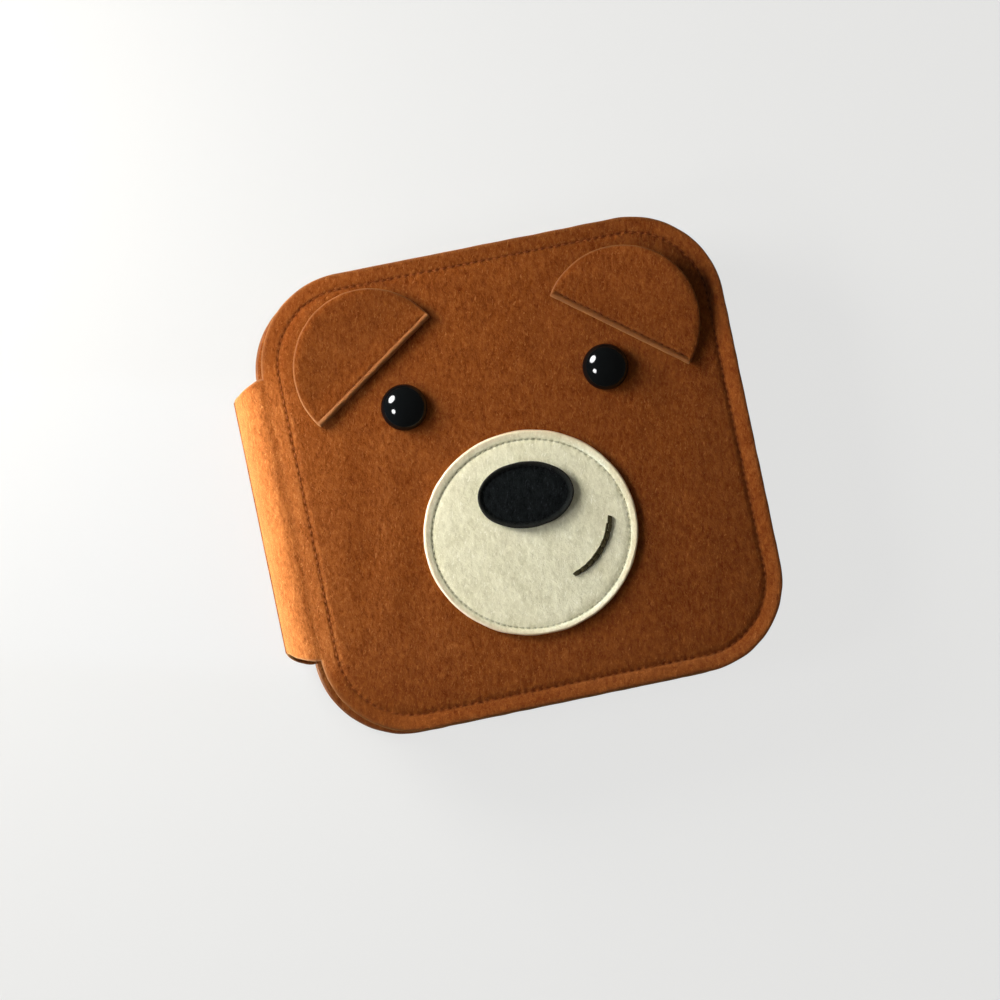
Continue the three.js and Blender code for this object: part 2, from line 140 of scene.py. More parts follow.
# How wide a seam's groove or its compressed line with painted shade is, outside the seam and within it
GROOVE_WIDTHS = (0.55, 1.5)
THIN_GROOVE_WIDTHS = (1.0, 1.2)
SHAPE_GROOVE_WIDTHS = (0.8, 0.9)
COVER_PRESS_AND_SHADE_WIDTHS = (0.6, 0.6)
LINING_PRESS_AND_SHADE_WIDTHS = (0.7, 0.7)
PATCH_PRESS_AND_SHADE_WIDTHS = (0.35, 0.6)

# How uneven a face is, or the painted shade along the cover's seam: the waves' height and length
COVER_PRESS_AND_SHADE_WAVE = (0.25, 12.0)
LINING_WAVE = (0.06, 16.0)
WADDING_WAVE = (0.1, 6.0)
PAGE_WAVE = (0.05, 15.0)
PAGE_UNDER_WAVE = (0.04, 15.0)
PATCH_WAVE = (0.04, 9.0)
SHAPE_WAVE = (0.03, 9.0)
EAR_FACE_WAVE = (0.05, 8.0)

# How far each seam's thread lies over the bottom of its groove, or under its felt's face
COVER_THREAD_LIFT = 0.2
PATCH_THREAD_LIFT = 0.1
EAR_THREAD_LIFT = 0.18
PAGE_THREAD_LIFT = 0.1
LINING_THREAD_SINK = 0.15
SHAPE_THREAD_SINK = 0.2

# Patches on the face: the seam's inset, its drift off the middle, its stitches and its relief
MUZZLE = {
    "seam": 2.5,
    "drift": (0.1, -0.4),
    "pitch": 2.0,
    "groove": 0.35,
    "swell": 0.6,
    "turn": 0.0,
    "rings": [0, 0.3, 0.8, 1.3, 1.8, 2.1, 2.3, 2.5, 2.7, 3.0, 3.5, 4.4, 6.0],
}
NOSE = {
    "seam": 1.7,
    "drift": (-0.1, 0.1),
    "pitch": 1.8,
    "groove": 0.25,
    "swell": 0.8,
    "turn": math.radians(-4),
    "rings": [0, 0.25, 0.7, 1.1, 1.4, 1.7, 2.0, 2.4, 3.2],
}
PATCH_GRID = 1.4
PATCH_SINK = 0.02
PATCH_UNDER_SINK = 0.05
# The patches' seam line is darkened with painted shade
PATCH_PRESS_AND_SHADE = 0.2
PATCH_WEAR = 0.45
# How wide the painted shadow at each needle hole is
HOLE_SHADOW_WIDTH = 0.45
FINE_SEAM_SHARE = 0.14

# Shapes on the pages, and how near their points are taken
SHAPE_SEAM = 1.6
SHAPE_PITCH = 2.2
SHAPE_GRID = 0.9
SHAPE_GROOVE = 0.3
SHAPE_CROWN = 0.12
SHAPE_CROWN_INSET = 5.0
SHAPE_EDGE_POINTS = 480
SHAPE_EDGE_INSET = 0.3
LEVEL_TOLERANCE = 0.01
SEAM_TOLERANCE = 0.05

# Ears: a disc's radius, the lip below the seam, the flap's bend, the seam's relief, and the lip's
# paleness by rubbing and by painted highlight
EAR_RADIUS = 25.0
EAR_LIP = 2.1
EAR_LIP_BEND = 1.15
EAR_BEND = 8.0
EAR_SEAM = -0.6
EAR_PITCH = 2.4
EAR_POINTS_PER_STITCH = 5
EAR_SEAM_WIDTH = 0.9
EAR_SEAM_END = 1.5
EAR_STITCHES = 18
EAR_DEEP_GROOVE = 0.75
EAR_WEAR_AND_HIGHLIGHT_END = 1.1
EAR_WAVE = 0.25
EAR_WAVELENGTH = 40.0
EAR_WAVE_START = 4.0
EAR_BEND_START = 0.6
EAR_BEND_END = 3.4
EAR_GRID = 1.6
EAR_EDGE_POINTS = 420
EAR_EDGE_INSET = 0.35
EAR_SEAM_ROWS = [-1.45, -1.0, -0.6, -0.2, 0.3, 0.9, 1.6, 2.4]
EAR_ROW_CLEARANCE = 0.3
EAR_GRID_START = 3.2
# The lips are paler by rubbing, and the left lip more so by painted highlight
LEFT_EAR = {"curl": math.radians(38), "slope": 0.18, "groove": 0.35, "lip_wear_and_highlight": 0.95}
RIGHT_EAR = {"curl": math.radians(24), "slope": 0.21, "groove": EAR_DEEP_GROOVE, "lip_wear_and_highlight": 0.4}

# Eyes: the upright edge's share of the height, the underside's rounding, the stem and the fineness
EYE_EDGE_SHARE = 0.1
EYE_FOOT_SHARE = 0.97
EYE_FOOT_RISE = 0.1
STEM_RADIUS = 2.0
EYE_RINGS = 30
EYE_SIDES = 72

# Smile: the thread's circle, its two ends and its stitches
SMILE_CENTRE = (3.1, -14.6)
SMILE_RADIUS = 21.9
SMILE_START = math.radians(-12.6)
SMILE_END = math.radians(-73.3)
SMILE_STITCHES = 9
SMILE_STRANDS = 3
SMILE_WIDTH = 1.75
SMILE_SPREAD = 0.09
SMILE_OVERLAP_SHARE = 0.16
SMILE_TAPER_SHARE = 0.45
SMILE_TAPER_POWER = 3
SMILE_LEVEL = 0.1
SMILE_RISE = 0.14

# Threads: half thicknesses, and how a stitch rises and dives
THREAD_RADIUS = 0.2
FINE_THREAD_RADIUS = 0.17
SMILE_THREAD_RADIUS = 0.38
STITCH_RINGS = 6
STITCH_SIDES = 6
STITCH_RISE = 0.12
STITCH_DIVE = 0.45
STITCH_ARCH_POWER = 0.45
STITCH_END_SHARE = 0.6
STITCH_GAP_SHARE = 0.1
TWISTS_PER_MM = 1.3

# The camera, far and almost straight above the face, turned and shifted as the photograph is
CAMERA_DISTANCE = 2000.0
CAMERA_TOWARDS_SPINE = math.radians(7.0)
CAMERA_FROM_BELOW = math.radians(2.5)
CAMERA_ROLL = math.radians(11.846)
PIXELS_PER_MM = 3.1203
IMAGE_PIXELS = 1000.0
BOOK_RIGHT_PIXELS = 22.66
BOOK_UP_PIXELS = 27.43
SENSOR = 36.0

# The floor, wide enough to fill every view
FLOOR_HALF = 3000.0
FLOOR_CLEARANCE = 0.05

# The low beam that lights the spine
BEAM_WIDTH = 92.0
BEAM_HEIGHT = 30.0
BEAM_LEVEL = 13.0
BEAM_WAY = (-0.966, 0.257, 0.03)
BEAM_DISTANCE = 370.0
BEAM_SPREAD = math.radians(2.5)
BEAM_POWER = 0.053
BEAM_COLOUR = (0.79, 1.11, 1.6)


def box(node):
    """A frame node's low and high corners in millimetres."""
    low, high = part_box(node)
    return np.array(low) / MM, np.array(high) / MM


def size_of(node):
    low, high = box(node)
    return high - low


JOINTS = {joint["name"]: joint for joint in frame["joints"]}


def pivot(joint):
    return np.array(JOINTS[joint]["pos_m"]) / MM


FOLD_X, _, TOP = pivot("cover_opens")
SPINE_LOW, SPINE_HIGH = box("spine_band")


def ripple(x, y, wavelength, seed, waves=9):
    """A soft unevenness, mostly between -1 and 1, that is the same for the same seed."""
    rng = np.random.default_rng(seed)
    total = np.zeros(np.broadcast(x, y).shape)
    for _ in range(waves):
        angle, phase = rng.uniform(0, 2 * math.pi, 2)
        turn = 2 * math.pi / (wavelength * rng.uniform(0.7, 1.7))
        total += np.sin((x * math.cos(angle) + y * math.sin(angle)) * turn + phase)
    return total / math.sqrt(waves)


def smooth(value, low, high):
    """0 below low, 1 above high, with an even curve between."""
    share = np.clip((value - low) / (high - low), 0, 1)
    return share * share * (3 - 2 * share)


# Cuts: flat pieces with their points by the seam

class Cut:
    """A flat cut: points, faces, each point's inset and place along the seam, and the needle holes."""

    def __init__(self, points, faces, inset, along, holes):
        self.points, self.faces = points, faces
        self.inset, self.along = inset, along
        self.holes = holes


def run_along(line):
    """How far along a line each of its points lies."""
    return np.concatenate([[0], np.cumsum(np.linalg.norm(np.diff(line, axis=0), axis=1))])


def evenly(curve, count):
    """Points evenly spaced along a closed anticlockwise line, and the outward normal at each."""
    closed = np.vstack([curve, curve[:1]])
    run = run_along(closed)
    at = np.linspace(0, run[-1], count, endpoint=False)
    points = np.stack([np.interp(at, run, closed[:, axis]) for axis in (0, 1)], axis=1)
    ahead = np.roll(points, -2, axis=0) - np.roll(points, 2, axis=0)
    ahead /= np.linalg.norm(ahead, axis=1)[:, None]
    return points, np.stack([ahead[:, 1], -ahead[:, 0]], axis=1)


def length_of(curve):
    return np.linalg.norm(np.roll(curve, -1, axis=0) - curve, axis=1).sum()


def inside(points, loop, clear):
    """Which points lie inside a loop and at least clear away from its corners."""
    keep = np.zeros(len(points), bool)
    after = np.roll(loop, -1, axis=0)
    rise = after[:, 1] - loop[:, 1]
    rise[rise == 0] = 1e-12
    for number, (x, y) in enumerate(points):
        spans = (loop[:, 1] > y) != (after[:, 1] > y)
        crossing = loop[:, 0] + (after[:, 0] - loop[:, 0]) * (y - loop[:, 1]) / rise
        within = np.count_nonzero(spans & (crossing > x)) % 2 == 1
        keep[number] = within and ((loop - (x, y)) ** 2).sum(1).min() > clear * clear
    return keep


def grid(loop, spacing):
    """A triangular grid of points inside a loop."""
    low, high = loop.min(0), loop.max(0)
    rows = np.arange(low[1], high[1], spacing * math.sqrt(0.75))
    points = [
        (x, y)
        for number, y in enumerate(rows)
        for x in np.arange(low[0] + (number % 2) * spacing / 2, high[0], spacing)
    ]
    points = np.array(points)
    return points[inside(points, loop, 0.7 * spacing)]


def fill(loop, extra):
    """Triangles over a loop and extra points. The loop's points keep their order and come first."""
    points = [Vector(p) for p in np.vstack([loop, extra])]
    edges = [(at, (at + 1) % len(loop)) for at in range(len(loop))]
    _, _, faces, origins, _, _ = delaunay_2d_cdt(points, edges, [], 1, 1e-6)
    old = [names[0] for names in origins]
    return [tuple(old[corner] for corner in face) for face in faces]


def ring_faces(outer, inner, count):
    return [
        (outer + at, outer + (at + 1) % count, inner + (at + 1) % count, inner + at)
        for at in range(count)
    ]


def seamed_cut(seam, seam_inset, pitch, insets, spacing, per_stitch):
    """A cut with rings along a closed seam, from its edge inwards, and a filled middle."""
    stitches = round(length_of(seam) / pitch)
    count = stitches * per_stitch
    line, normals = evenly(seam, count)
    rings = [line + normals * (seam_inset - inset) for inset in insets]
    faces = []
    for number in range(len(rings) - 1):
        faces += ring_faces(number * count, (number + 1) * count, count)
    middle = grid(rings[-1], spacing)
    start = (len(rings) - 1) * count
    faces += [tuple(start + corner for corner in face) for face in fill(rings[-1], middle)]
    points = np.vstack([*rings, middle])
    inset = np.concatenate([np.repeat(insets, count), np.full(len(middle), 2.0 * insets[-1])])
    along = np.concatenate([np.tile(np.arange(count) / per_stitch, len(rings)), np.zeros(len(middle))])
    return Cut(points, faces, inset, along, line[::per_stitch])


def with_strip(cut, half_height, reaches, half_at):
    """The cut with a strip out of its left side, a column of points for each reach."""
    edge = [
        at for at in range(np.count_nonzero(cut.inset == 0))
        if cut.points[at, 0] < 0 and abs(cut.points[at, 1]) <= half_height
    ]
    edge.sort(key=lambda at: cut.points[at, 1])
    heights = cut.points[edge, 1]
    left = cut.points[edge, 0].min()
    columns = [np.array(edge)]
    points, faces = [cut.points], list(cut.faces)
    total = len(cut.points)
    for reach in reaches:
        scaled = heights * half_at(reach) / half_height
        points.append(np.stack([np.full(len(edge), left - reach), scaled], axis=1))
        columns.append(total + np.arange(len(edge)))
        total += len(edge)
    for right, further in zip(columns, columns[1:]):
        for row in range(len(edge) - 1):
            faces.append((right[row], right[row + 1], further[row + 1], further[row]))
    added = total - len(cut.points)
    inset = np.concatenate([cut.inset, np.zeros(added)])
    along = np.concatenate([cut.along, np.zeros(added)])
    return Cut(np.vstack(points), faces, inset, along, cut.holes)


def rounded_seam(width, height, radius, inset):
    """The line at an inset from a rounded rectangle's edge."""
    arcs = []
    for quarter, (side, up) in enumerate([(1, 1), (-1, 1), (-1, -1), (1, -1)]):
        angle = np.linspace(quarter, quarter + 1, 120) * math.pi / 2
        middle = np.array([side * (width / 2 - radius), up * (height / 2 - radius)])
        arcs.append(middle + (radius - inset) * np.stack([np.cos(angle), np.sin(angle)], axis=1))
    return np.vstack(arcs)


def oval_seam(width, height, inset):
    """The line at an inset from an ellipse's edge."""
    angle = np.linspace(0, 2 * math.pi, 720, endpoint=False)
    return np.stack([np.cos(angle), np.sin(angle)], axis=1) * (width / 2 - inset, height / 2 - inset)


# Meshes

def mesh_object(name, points, faces, material, **values):
    """An object from points in millimetres, with its rest places and any values kept for its material."""
    mesh = bpy.data.meshes.new(name)
    mesh.from_pydata((points * MM).tolist(), [], [[int(corner) for corner in face] for face in faces])
    mesh.shade_smooth()
    mesh.attributes.new("rest", "FLOAT_VECTOR", "POINT").data.foreach_set(
        "vector", points.astype(np.float32).ravel())
    for label, value in values.items():
        mesh.attributes.new(label, "FLOAT", "POINT").data.foreach_set("value", value.astype(np.float32))
    mesh.materials.append(material)
    made = bpy.data.objects.new(name, mesh)
    bpy.context.scene.collection.objects.link(made)
    return made


def border(cut, joined):
    """The outline's directed edges: the cut ones, and those that both end where joined is true."""
    edges = {(a, b) for face in cut.faces for a, b in zip(face, face[1:] + face[:1])}
    free = sorted((a, b) for a, b in edges if (b, a) not in edges)
    return (
        [(a, b) for a, b in free if not (joined[a] and joined[b])],
        [(a, b) for a, b in free if joined[a] and joined[b]],
    )


def felt(
        name, cut, place, upper, under, material, joined=None, mirrored=False, press=None, worn_and_highlit=0.0):
    """A felt piece: an upper and an under face at their heights, and a swollen cut edge between.

    Where it is joined it ends square, with a crease, so that its faces run on smoothly in the next piece.
    Its seam values say where a seam compresses its upper face and painted shade darkens it there, and its
    edge values where that face is paler like a cut edge, by rubbing and by painted highlight."""
    joined = np.zeros(len(cut.points), bool) if joined is None else joined
    edges, joins = border(cut, joined)
    outward = np.zeros_like(cut.points)
    for a, b in edges:
        step = cut.points[b] - cut.points[a]
        outward[a] += (step[1], -step[0])
        outward[b] += (step[1], -step[0])
    rim = np.linalg.norm(outward, axis=1) > 0
    outward[rim] /= np.linalg.norm(outward[rim], axis=1)[:, None]
    flat = cut.points + EDGE_WAVE * outward * ripple(*cut.points.T, 7, len(name))[:, None]
    upper = upper - SHOULDER * rim
    under = under + SHOULDER * rim
    count = len(cut.points)
    layers = [place(flat, upper), place(flat, under)]
    ids = np.flatnonzero(rim)
    wall = {}
    for row in range(1, EDGE_ROWS + 1):
        share = row / (EDGE_ROWS + 1)
        height = upper[ids] * (1 - share) + under[ids] * share
        swell = outward[ids] * EDGE_BULGE * math.sin(math.pi * share)
        start = 2 * count + (row - 1) * len(ids)
        wall[row] = dict(zip(ids, range(start, start + len(ids))))
        layers.append(place(flat[ids] + swell, height))
    wall[0] = dict(zip(ids, ids))
    wall[EDGE_ROWS + 1] = dict(zip(ids, ids + count))
    faces = [tuple(face) for face in cut.faces]
    faces += [tuple(corner + count for corner in reversed(face)) for face in cut.faces]
    for a, b in edges:
        for row in range(EDGE_ROWS + 1):
            faces.append((wall[row][b], wall[row][a], wall[row + 1][a], wall[row + 1][b]))
    faces += [(b, a, a + count, b + count) for a, b in joins]
    if mirrored:
        faces = [tuple(reversed(face)) for face in faces]
    # Painted shade at seams and needle holes, kept on both faces for the material
    pressed = np.zeros(count) if press is None else press
    edge_part = np.concatenate([np.maximum(rim, worn_and_highlit), rim, np.ones(EDGE_ROWS * len(ids))])
    seam_press_and_shade = np.concatenate([pressed, pressed, np.zeros(EDGE_ROWS * len(ids))])
    made = mesh_object(name, np.vstack(layers), faces, material, cut=edge_part, press=seam_press_and_shade)
    creases = {frozenset((a + lower, b + lower)) for a, b in joins for lower in (0, count)}
    for edge in made.data.edges:
        if creases and frozenset(edge.vertices) in creases:
            edge.use_edge_sharp = True
    return made


def uneven(cut, wave, seed):
    """The unevenness of a cut's face, by its waves' height and length."""
    height, wavelength = wave
    return height * ripple(*cut.points.T, wavelength, seed)


def hole_depth(cut):
    """How deep a groove is along its seam: 1 at a needle hole and less between."""
    return 1 - HOLE_DEPTH_SHARE + HOLE_DEPTH_SHARE * np.cos(2 * math.pi * cut.along)


def seam_dip(cut, seam, widths):
    """How deep each point lies in the seam's groove, which is deepest at the needle holes."""
    outer, inner = widths
    offset = cut.inset - seam
    outside = 1 - smooth(-offset, 0, outer)
    within = 1 - smooth(offset, 0, inner)
    shape = np.where(offset < 0, outside, within)
    return shape * np.where(np.abs(offset) < inner, hole_depth(cut), 1)


def hole_shadows(cut, seam, width):
    """How much painted shadow each point takes from a needle hole of the seam nearby."""
    near = 1 - smooth(np.abs(cut.inset - seam), 0, width)
    return near * (0.5 + 0.5 * np.cos(2 * math.pi * cut.along)) ** 2


def stitches(name, starts, ends, place, height, thread, rise=STITCH_RISE):
    """One short thread for each start and end: it comes up, lies along the felt and dives again."""
    material, radius = thread
    base, tips = place(starts, height), place(ends, height)
    up = place((starts + ends) / 2, height + 1.0) - place((starts + ends) / 2, height)
    ahead = tips - base
    side = np.cross(ahead, up)
    side /= np.linalg.norm(side, axis=1)[:, None]
    share = np.linspace(0, 1, STITCH_RINGS)
    arch = np.sin(math.pi * share) ** STITCH_ARCH_POWER
    lift = rise * arch - STITCH_DIVE * (1 - arch)
    size = radius * (STITCH_END_SHARE + (1 - STITCH_END_SHARE) * arch)
    angle = np.arange(STITCH_SIDES) * 2 * math.pi / STITCH_SIDES
    middle = (
        base[:, None, :] + ahead[:, None, :] * share[None, :, None]
        + up[:, None, :] * lift[None, :, None]
    )
    ring = (
        side[:, None, :] * np.cos(angle)[None, :, None]
        + up[:, None, :] * np.sin(angle)[None, :, None]
    )
    points = middle[:, :, None, :] + ring[:, None, :, :] * size[None, :, None, None]
    faces = []
    for stitch in range(len(starts)):
        first = stitch * STITCH_RINGS * STITCH_SIDES
        last = first + (STITCH_RINGS - 1) * STITCH_SIDES
        for ring_start in range(first, last, STITCH_SIDES):
            faces += ring_faces(ring_start, ring_start + STITCH_SIDES, STITCH_SIDES)
        faces.append(tuple(reversed(range(first, first + STITCH_SIDES))))
        faces.append(tuple(range(last, last + STITCH_SIDES)))
    run = np.linalg.norm(ahead, axis=1)[:, None, None] * share[None, :, None] * TWISTS_PER_MM
    twist = run + angle[None, None, :] / (2 * math.pi)
    return mesh_object(name, points.reshape(-1, 3), faces, material, twist=twist.ravel())


def belongs(made, body, slot, *nodes):
    """Gives a piece its body, if it has one, and hides the frame's nodes that it replaces. The slot is
    not used.
    """
    if body:
        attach(made, body)
    if nodes:
        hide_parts(*nodes)


def hole_pairs(holes, share=STITCH_GAP_SHARE):
    """Each stitch's start and end between neighbouring needle holes of a closed seam."""
    after = np.roll(holes, -1, axis=0)
    return holes + (after - holes) * share, holes + (after - holes) * (1 - share)


# Materials

class Graph:
    """A material's nodes, made and joined by short calls."""

    def __init__(self, name):
        self.material = bpy.data.materials.new(name)
        self.material.use_nodes = True
        self.nodes = self.material.node_tree.nodes
        self.links = self.material.node_tree.links
        self.shader = self.nodes["Principled BSDF"]

    def add(self, kind, inputs=(), **settings):
        node = self.nodes.new("ShaderNode" + kind)
        for key, value in settings.items():
            setattr(node, key, value)
        for socket, value in dict(inputs).items():
            self.put(node.inputs[socket], value)
        return node

    def put(self, socket, value):
        if isinstance(value, bpy.types.NodeSocket):
            self.links.new(value, socket)
        else:
            socket.default_value = value

    def math(self, operation, *values):
        return self.add("Math", enumerate(values), operation=operation).outputs[0]

    def mix(self, share, first, second):
        """A colour between two, by share."""
        node = self.add("Mix", {0: share, 6: first, 7: second}, data_type="RGBA")
        return node.outputs[2]

    def weighted(self, *parts):
        """The sum of values times their weights."""
        total = 0.0
        for value, weight in parts:
            total = self.math("MULTIPLY_ADD", value, weight, total)
        return total

    def value(self, name):
        return self.add("Attribute", attribute_name=name).outputs["Fac"]

    def rest(self, stretch=(1, 1, 1), turn=0.0):
        """The rest place in millimetres, for a pattern that stays on its piece, stretched and turned."""
        place = self.add("Attribute", attribute_name="rest").outputs["Vector"]
        inputs = {"Vector": place, "Scale": stretch, "Rotation": (0, 0, turn)}
        return self.add("Mapping", inputs, vector_type="TEXTURE").outputs[0]

    def noise(self, vector, scale, detail=3.0, roughness=0.55, distortion=0.0):
        inputs = {
            "Vector": vector, "Scale": scale, "Detail": detail,
            "Roughness": roughness, "Distortion": distortion,
        }
        return self.add("TexNoise", inputs).outputs["Fac"]

    def spread(self, value, low, high):
        """A value's range low to high spread over 0 to 1."""
        inputs = {"Value": value, "From Min": low, "From Max": high}
        return self.add("MapRange", inputs).outputs[0]

    def set(self, **inputs):
        for label, value in inputs.items():
            self.put(self.shader.inputs[label.replace("_", " ")], value)


def srgb(red, green, blue):
    """A screen colour, 0 to 255, as a linear one."""
    def linear(level):
        share = level / 255
        return share / 12.92 if share <= 0.04045 else ((share + 0.055) / 1.055) ** 2.4
    return linear(red), linear(green), linear(blue), 1.0


def felt_material(name, dark, light, tips, cut, pressed, sheen, coarse=0.8, contrast=1.0, relief=0.3):
    """Wool felt: short fibres that lie mostly one way, pale fibre ends that are partly painted sheen,
    soft patches, seams darkened with painted shade, and cut edges.
    """
    dark, light, tips, cut, pressed = (srgb(*colour) for colour in (dark, light, tips, cut, pressed))
    graph = Graph(name)
    fibres = graph.noise(graph.rest((1.0, 2.3, 1.0), -0.2), coarse, 4.0, 0.74, 0.5)
    crossing = graph.noise(graph.rest((1.0, 2.0, 1.0), 0.5), 1.6 * coarse, 3.0, 0.7, 0.8)
    grain = graph.noise(graph.rest(), 3.6, 2.0, 0.7)
    patches = graph.noise(graph.rest(), 0.07, 2.0, 0.5)
    tone = graph.weighted((crossing, 0.26), (fibres, 0.5), (grain, 0.14), (patches, 0.1))
    half = 0.13 / contrast
    colour = graph.mix(graph.spread(tone, 0.5 - half, 0.5 + half), dark, light)
    # Sparse pale fibre ends: partly paler fibres and partly painted sheen
    stray = graph.noise(graph.rest((1.0, 3.0, 1.0), -0.35), 2.0, 2.0, 0.55, 1.2)
    colour = graph.mix(graph.spread(stray, 0.58, 0.76), colour, tips)
    # Painted shade darkens seam grooves and needle holes, where the felt is also compressed
    colour = graph.mix(graph.math("MULTIPLY", graph.value("press"), 0.75), colour, pressed)
    layers = graph.noise(graph.rest((1.6, 1.6, 0.35)), 0.9, 3.0, 0.6)
    edge = graph.mix(graph.spread(layers, 0.3, 1.3), cut, light)
    # The cut edge's colour spreads onto rubbed faces; on the covers' rims and the left ear's lip it is
    # partly painted highlight
    worn_and_highlit = graph.math("MULTIPLY", graph.value("cut"), graph.spread(layers, -0.5, 0.45))
    colour = graph.mix(worn_and_highlit, colour, edge)
    height = graph.weighted((crossing, 0.35), (fibres, 0.5), (grain, 0.2))
    bump = graph.add("Bump", {"Height": height, "Distance": relief * MM * 2.0, "Strength": 0.8})
    graph.set(Base_Color=colour, Roughness=0.95, Normal=bump.outputs[0])
    weight, tint = sheen
    graph.set(
        Specular_IOR_Level=0.01, Sheen_Weight=weight, Sheen_Roughness=0.5, Sheen_Tint=srgb(*tint))
    return graph.material


def thread_material(name, dark, light, shine):
    """Thread twisted of two plies."""
    graph = Graph(name)
    turn = graph.math("MULTIPLY", graph.value("twist"), 2 * math.pi * 2)
    ply = graph.math("SINE", turn)
    lint = graph.noise(graph.rest(), 5.0, 2.0)
    tone = graph.math("MULTIPLY_ADD", ply, 0.35, graph.math("MULTIPLY_ADD", lint, 0.5, 0.25))
    bump = graph.add("Bump", {"Height": ply, "Distance": 0.08 * MM, "Strength": 0.7})
    colour = graph.mix(tone, srgb(*dark), srgb(*light))
    graph.set(Base_Color=colour, Roughness=shine, Normal=bump.outputs[0])
    graph.set(Specular_IOR_Level=0.02)
    return graph.material


def eye_material():
    """Moulded black plastic, glossy, with faint scuffs."""
    graph = Graph("eye_plastic")
    scuffs = graph.noise(graph.rest((0.3, 2.4, 1.0), 0.6), 1.4, 4.0, 0.7)
    graph.set(Base_Color=graph.mix(scuffs, srgb(3, 4, 5), srgb(11, 14, 15)))
    graph.set(Roughness=graph.math("MULTIPLY_ADD", scuffs, 0.1, 0.03), Specular_IOR_Level=0.2)
    return graph.material


def washer_material():
    """Cloudy white plastic."""
    graph = Graph("washer_plastic")
    cloud = graph.noise(graph.rest(), 0.4, 3.0)
    graph.set(Base_Color=graph.mix(cloud, srgb(205, 204, 196), srgb(235, 234, 228)), Roughness=0.42)
    return graph.material


def wadding_material():
    """White polyester wadding, loose and fibrous."""
    graph = Graph("wadding")
    tufts = graph.noise(graph.rest((1.0, 1.0, 2.0)), 0.35, 6.0, 0.7, 1.5)
    bump = graph.add("Bump", {"Height": tufts, "Distance": 1.0 * MM, "Strength": 0.9})
    graph.set(Base_Color=graph.mix(tufts, srgb(208, 206, 200), srgb(244, 243, 240)), Roughness=1.0)
    graph.set(Normal=bump.outputs[0], Sheen_Weight=0.3)
    return graph.material


# Each felt's dark seam colour is painted shade, and its pale fibre-end colour is partly painted sheen
BROWN = felt_material(
    "cover_felt", dark=(84, 27, 1), light=(142, 79, 33), tips=(156, 94, 46),
    cut=(120, 78, 48), pressed=(62, 20, 4), sheen=(0.42, (250, 184, 112)), contrast=0.88)
LINING = felt_material(
    "lining_felt", dark=(88, 32, 5), light=(140, 80, 38), tips=(160, 100, 54),
    cut=(118, 80, 60), pressed=(68, 26, 8), sheen=(0.3, (250, 160, 70)))
PAGE = felt_material(
    "page_felt", dark=(188, 180, 154), light=(224, 217, 194), tips=(236, 230, 210),
    cut=(234, 228, 210), pressed=(158, 150, 122), sheen=(0.1, (255, 250, 235)),
    coarse=0.6, contrast=0.9, relief=0.25)
CREAM = felt_material(
    "muzzle_felt", dark=(203, 199, 164), light=(243, 240, 212), tips=(251, 249, 230),
    cut=(216, 178, 134), pressed=(112, 114, 84), sheen=(0.1, (255, 250, 235)),
    coarse=0.5, relief=0.2)
BLACK = felt_material(
    "nose_felt", dark=(3, 5, 5), light=(26, 30, 31), tips=(42, 44, 48),
    cut=(58, 55, 48), pressed=(5, 6, 7), sheen=(0.03, (120, 122, 130)))
WADDING = wadding_material()
EYE = eye_material()
COLOURS = {
    "leaf_1_front_shape": ("red_felt", (150, 52, 42), (206, 88, 70)),
    "leaf_1_back_shape": ("yellow_felt", (196, 142, 44), (236, 186, 84)),
    "leaf_2_front_shape": ("blue_felt", (58, 104, 134), (104, 150, 178)),
    "leaf_2_back_shape": ("green_felt", (84, 124, 70), (134, 170, 114)),
    "leaf_3_front_shape": ("orange_felt", (190, 102, 54), (230, 148, 96)),
    "leaf_3_back_shape": ("purple_felt", (98, 82, 134), (146, 130, 182)),
}
BROWN_THREAD = thread_material("brown_thread", (104, 48, 18), (152, 86, 42), 0.8), THREAD_RADIUS
CREAM_THREAD = thread_material("cream_thread", (172, 168, 134), (222, 218, 188), 0.8), FINE_THREAD_RADIUS
BLACK_THREAD = thread_material("black_thread", (5, 6, 6), (20, 22, 22), 0.85), FINE_THREAD_RADIUS
SMILE_THREAD = thread_material("smile_thread", (34, 31, 18), (84, 76, 50), 0.6), SMILE_THREAD_RADIUS


# Covers and spine

def free_rim(x, y, reach):
    """1 where a cover's edge is free, and 0 along its fold."""
    beyond_band = smooth(np.abs(y), SPINE_HIGH[1], SPINE_HIGH[1] + reach)
    return np.maximum(beyond_band, smooth(x, RIM_FREE_START, RIM_FREE_END))


def rim_rise(cut, below):
    """How the rim outside the seam leaves the flat: it falls off to the spine and turns up elsewhere.

    The free rim turns up most on the right and at the bottom, and hardly at the top and the left. Below,
    on the ground, it doesn't turn up."""
    x, y = cut.points.T
    half = -FOLD_X - COVER_RADIUS
    direction = np.arctan2(y - np.clip(y, -half, half), x - np.clip(x, -half, half))
    sides = np.clip(RIM_FLARE_MEAN + RIM_FLARE_SWING * np.cos(direction - RIM_FLARE_TOWARDS), 0, 1)
    free = free_rim(x, y, RIM_FREE_REACH)
    outside = np.clip(1 - cut.inset / COVER_SEAM, 0, 1)
    bend = np.clip((FOLD_X - x) / BEND, 0, 1)
    fall = SPINE_FALL * outside * (1 - SPINE_FALL_FADE * smooth(bend, 0, 1))
    rise = RIM_FLARE * free * sides * (1 - (1 - outside) ** RIM_FLARE_POWER) - (1 - free) * fall
    return np.minimum(rise, 0) if below else rise


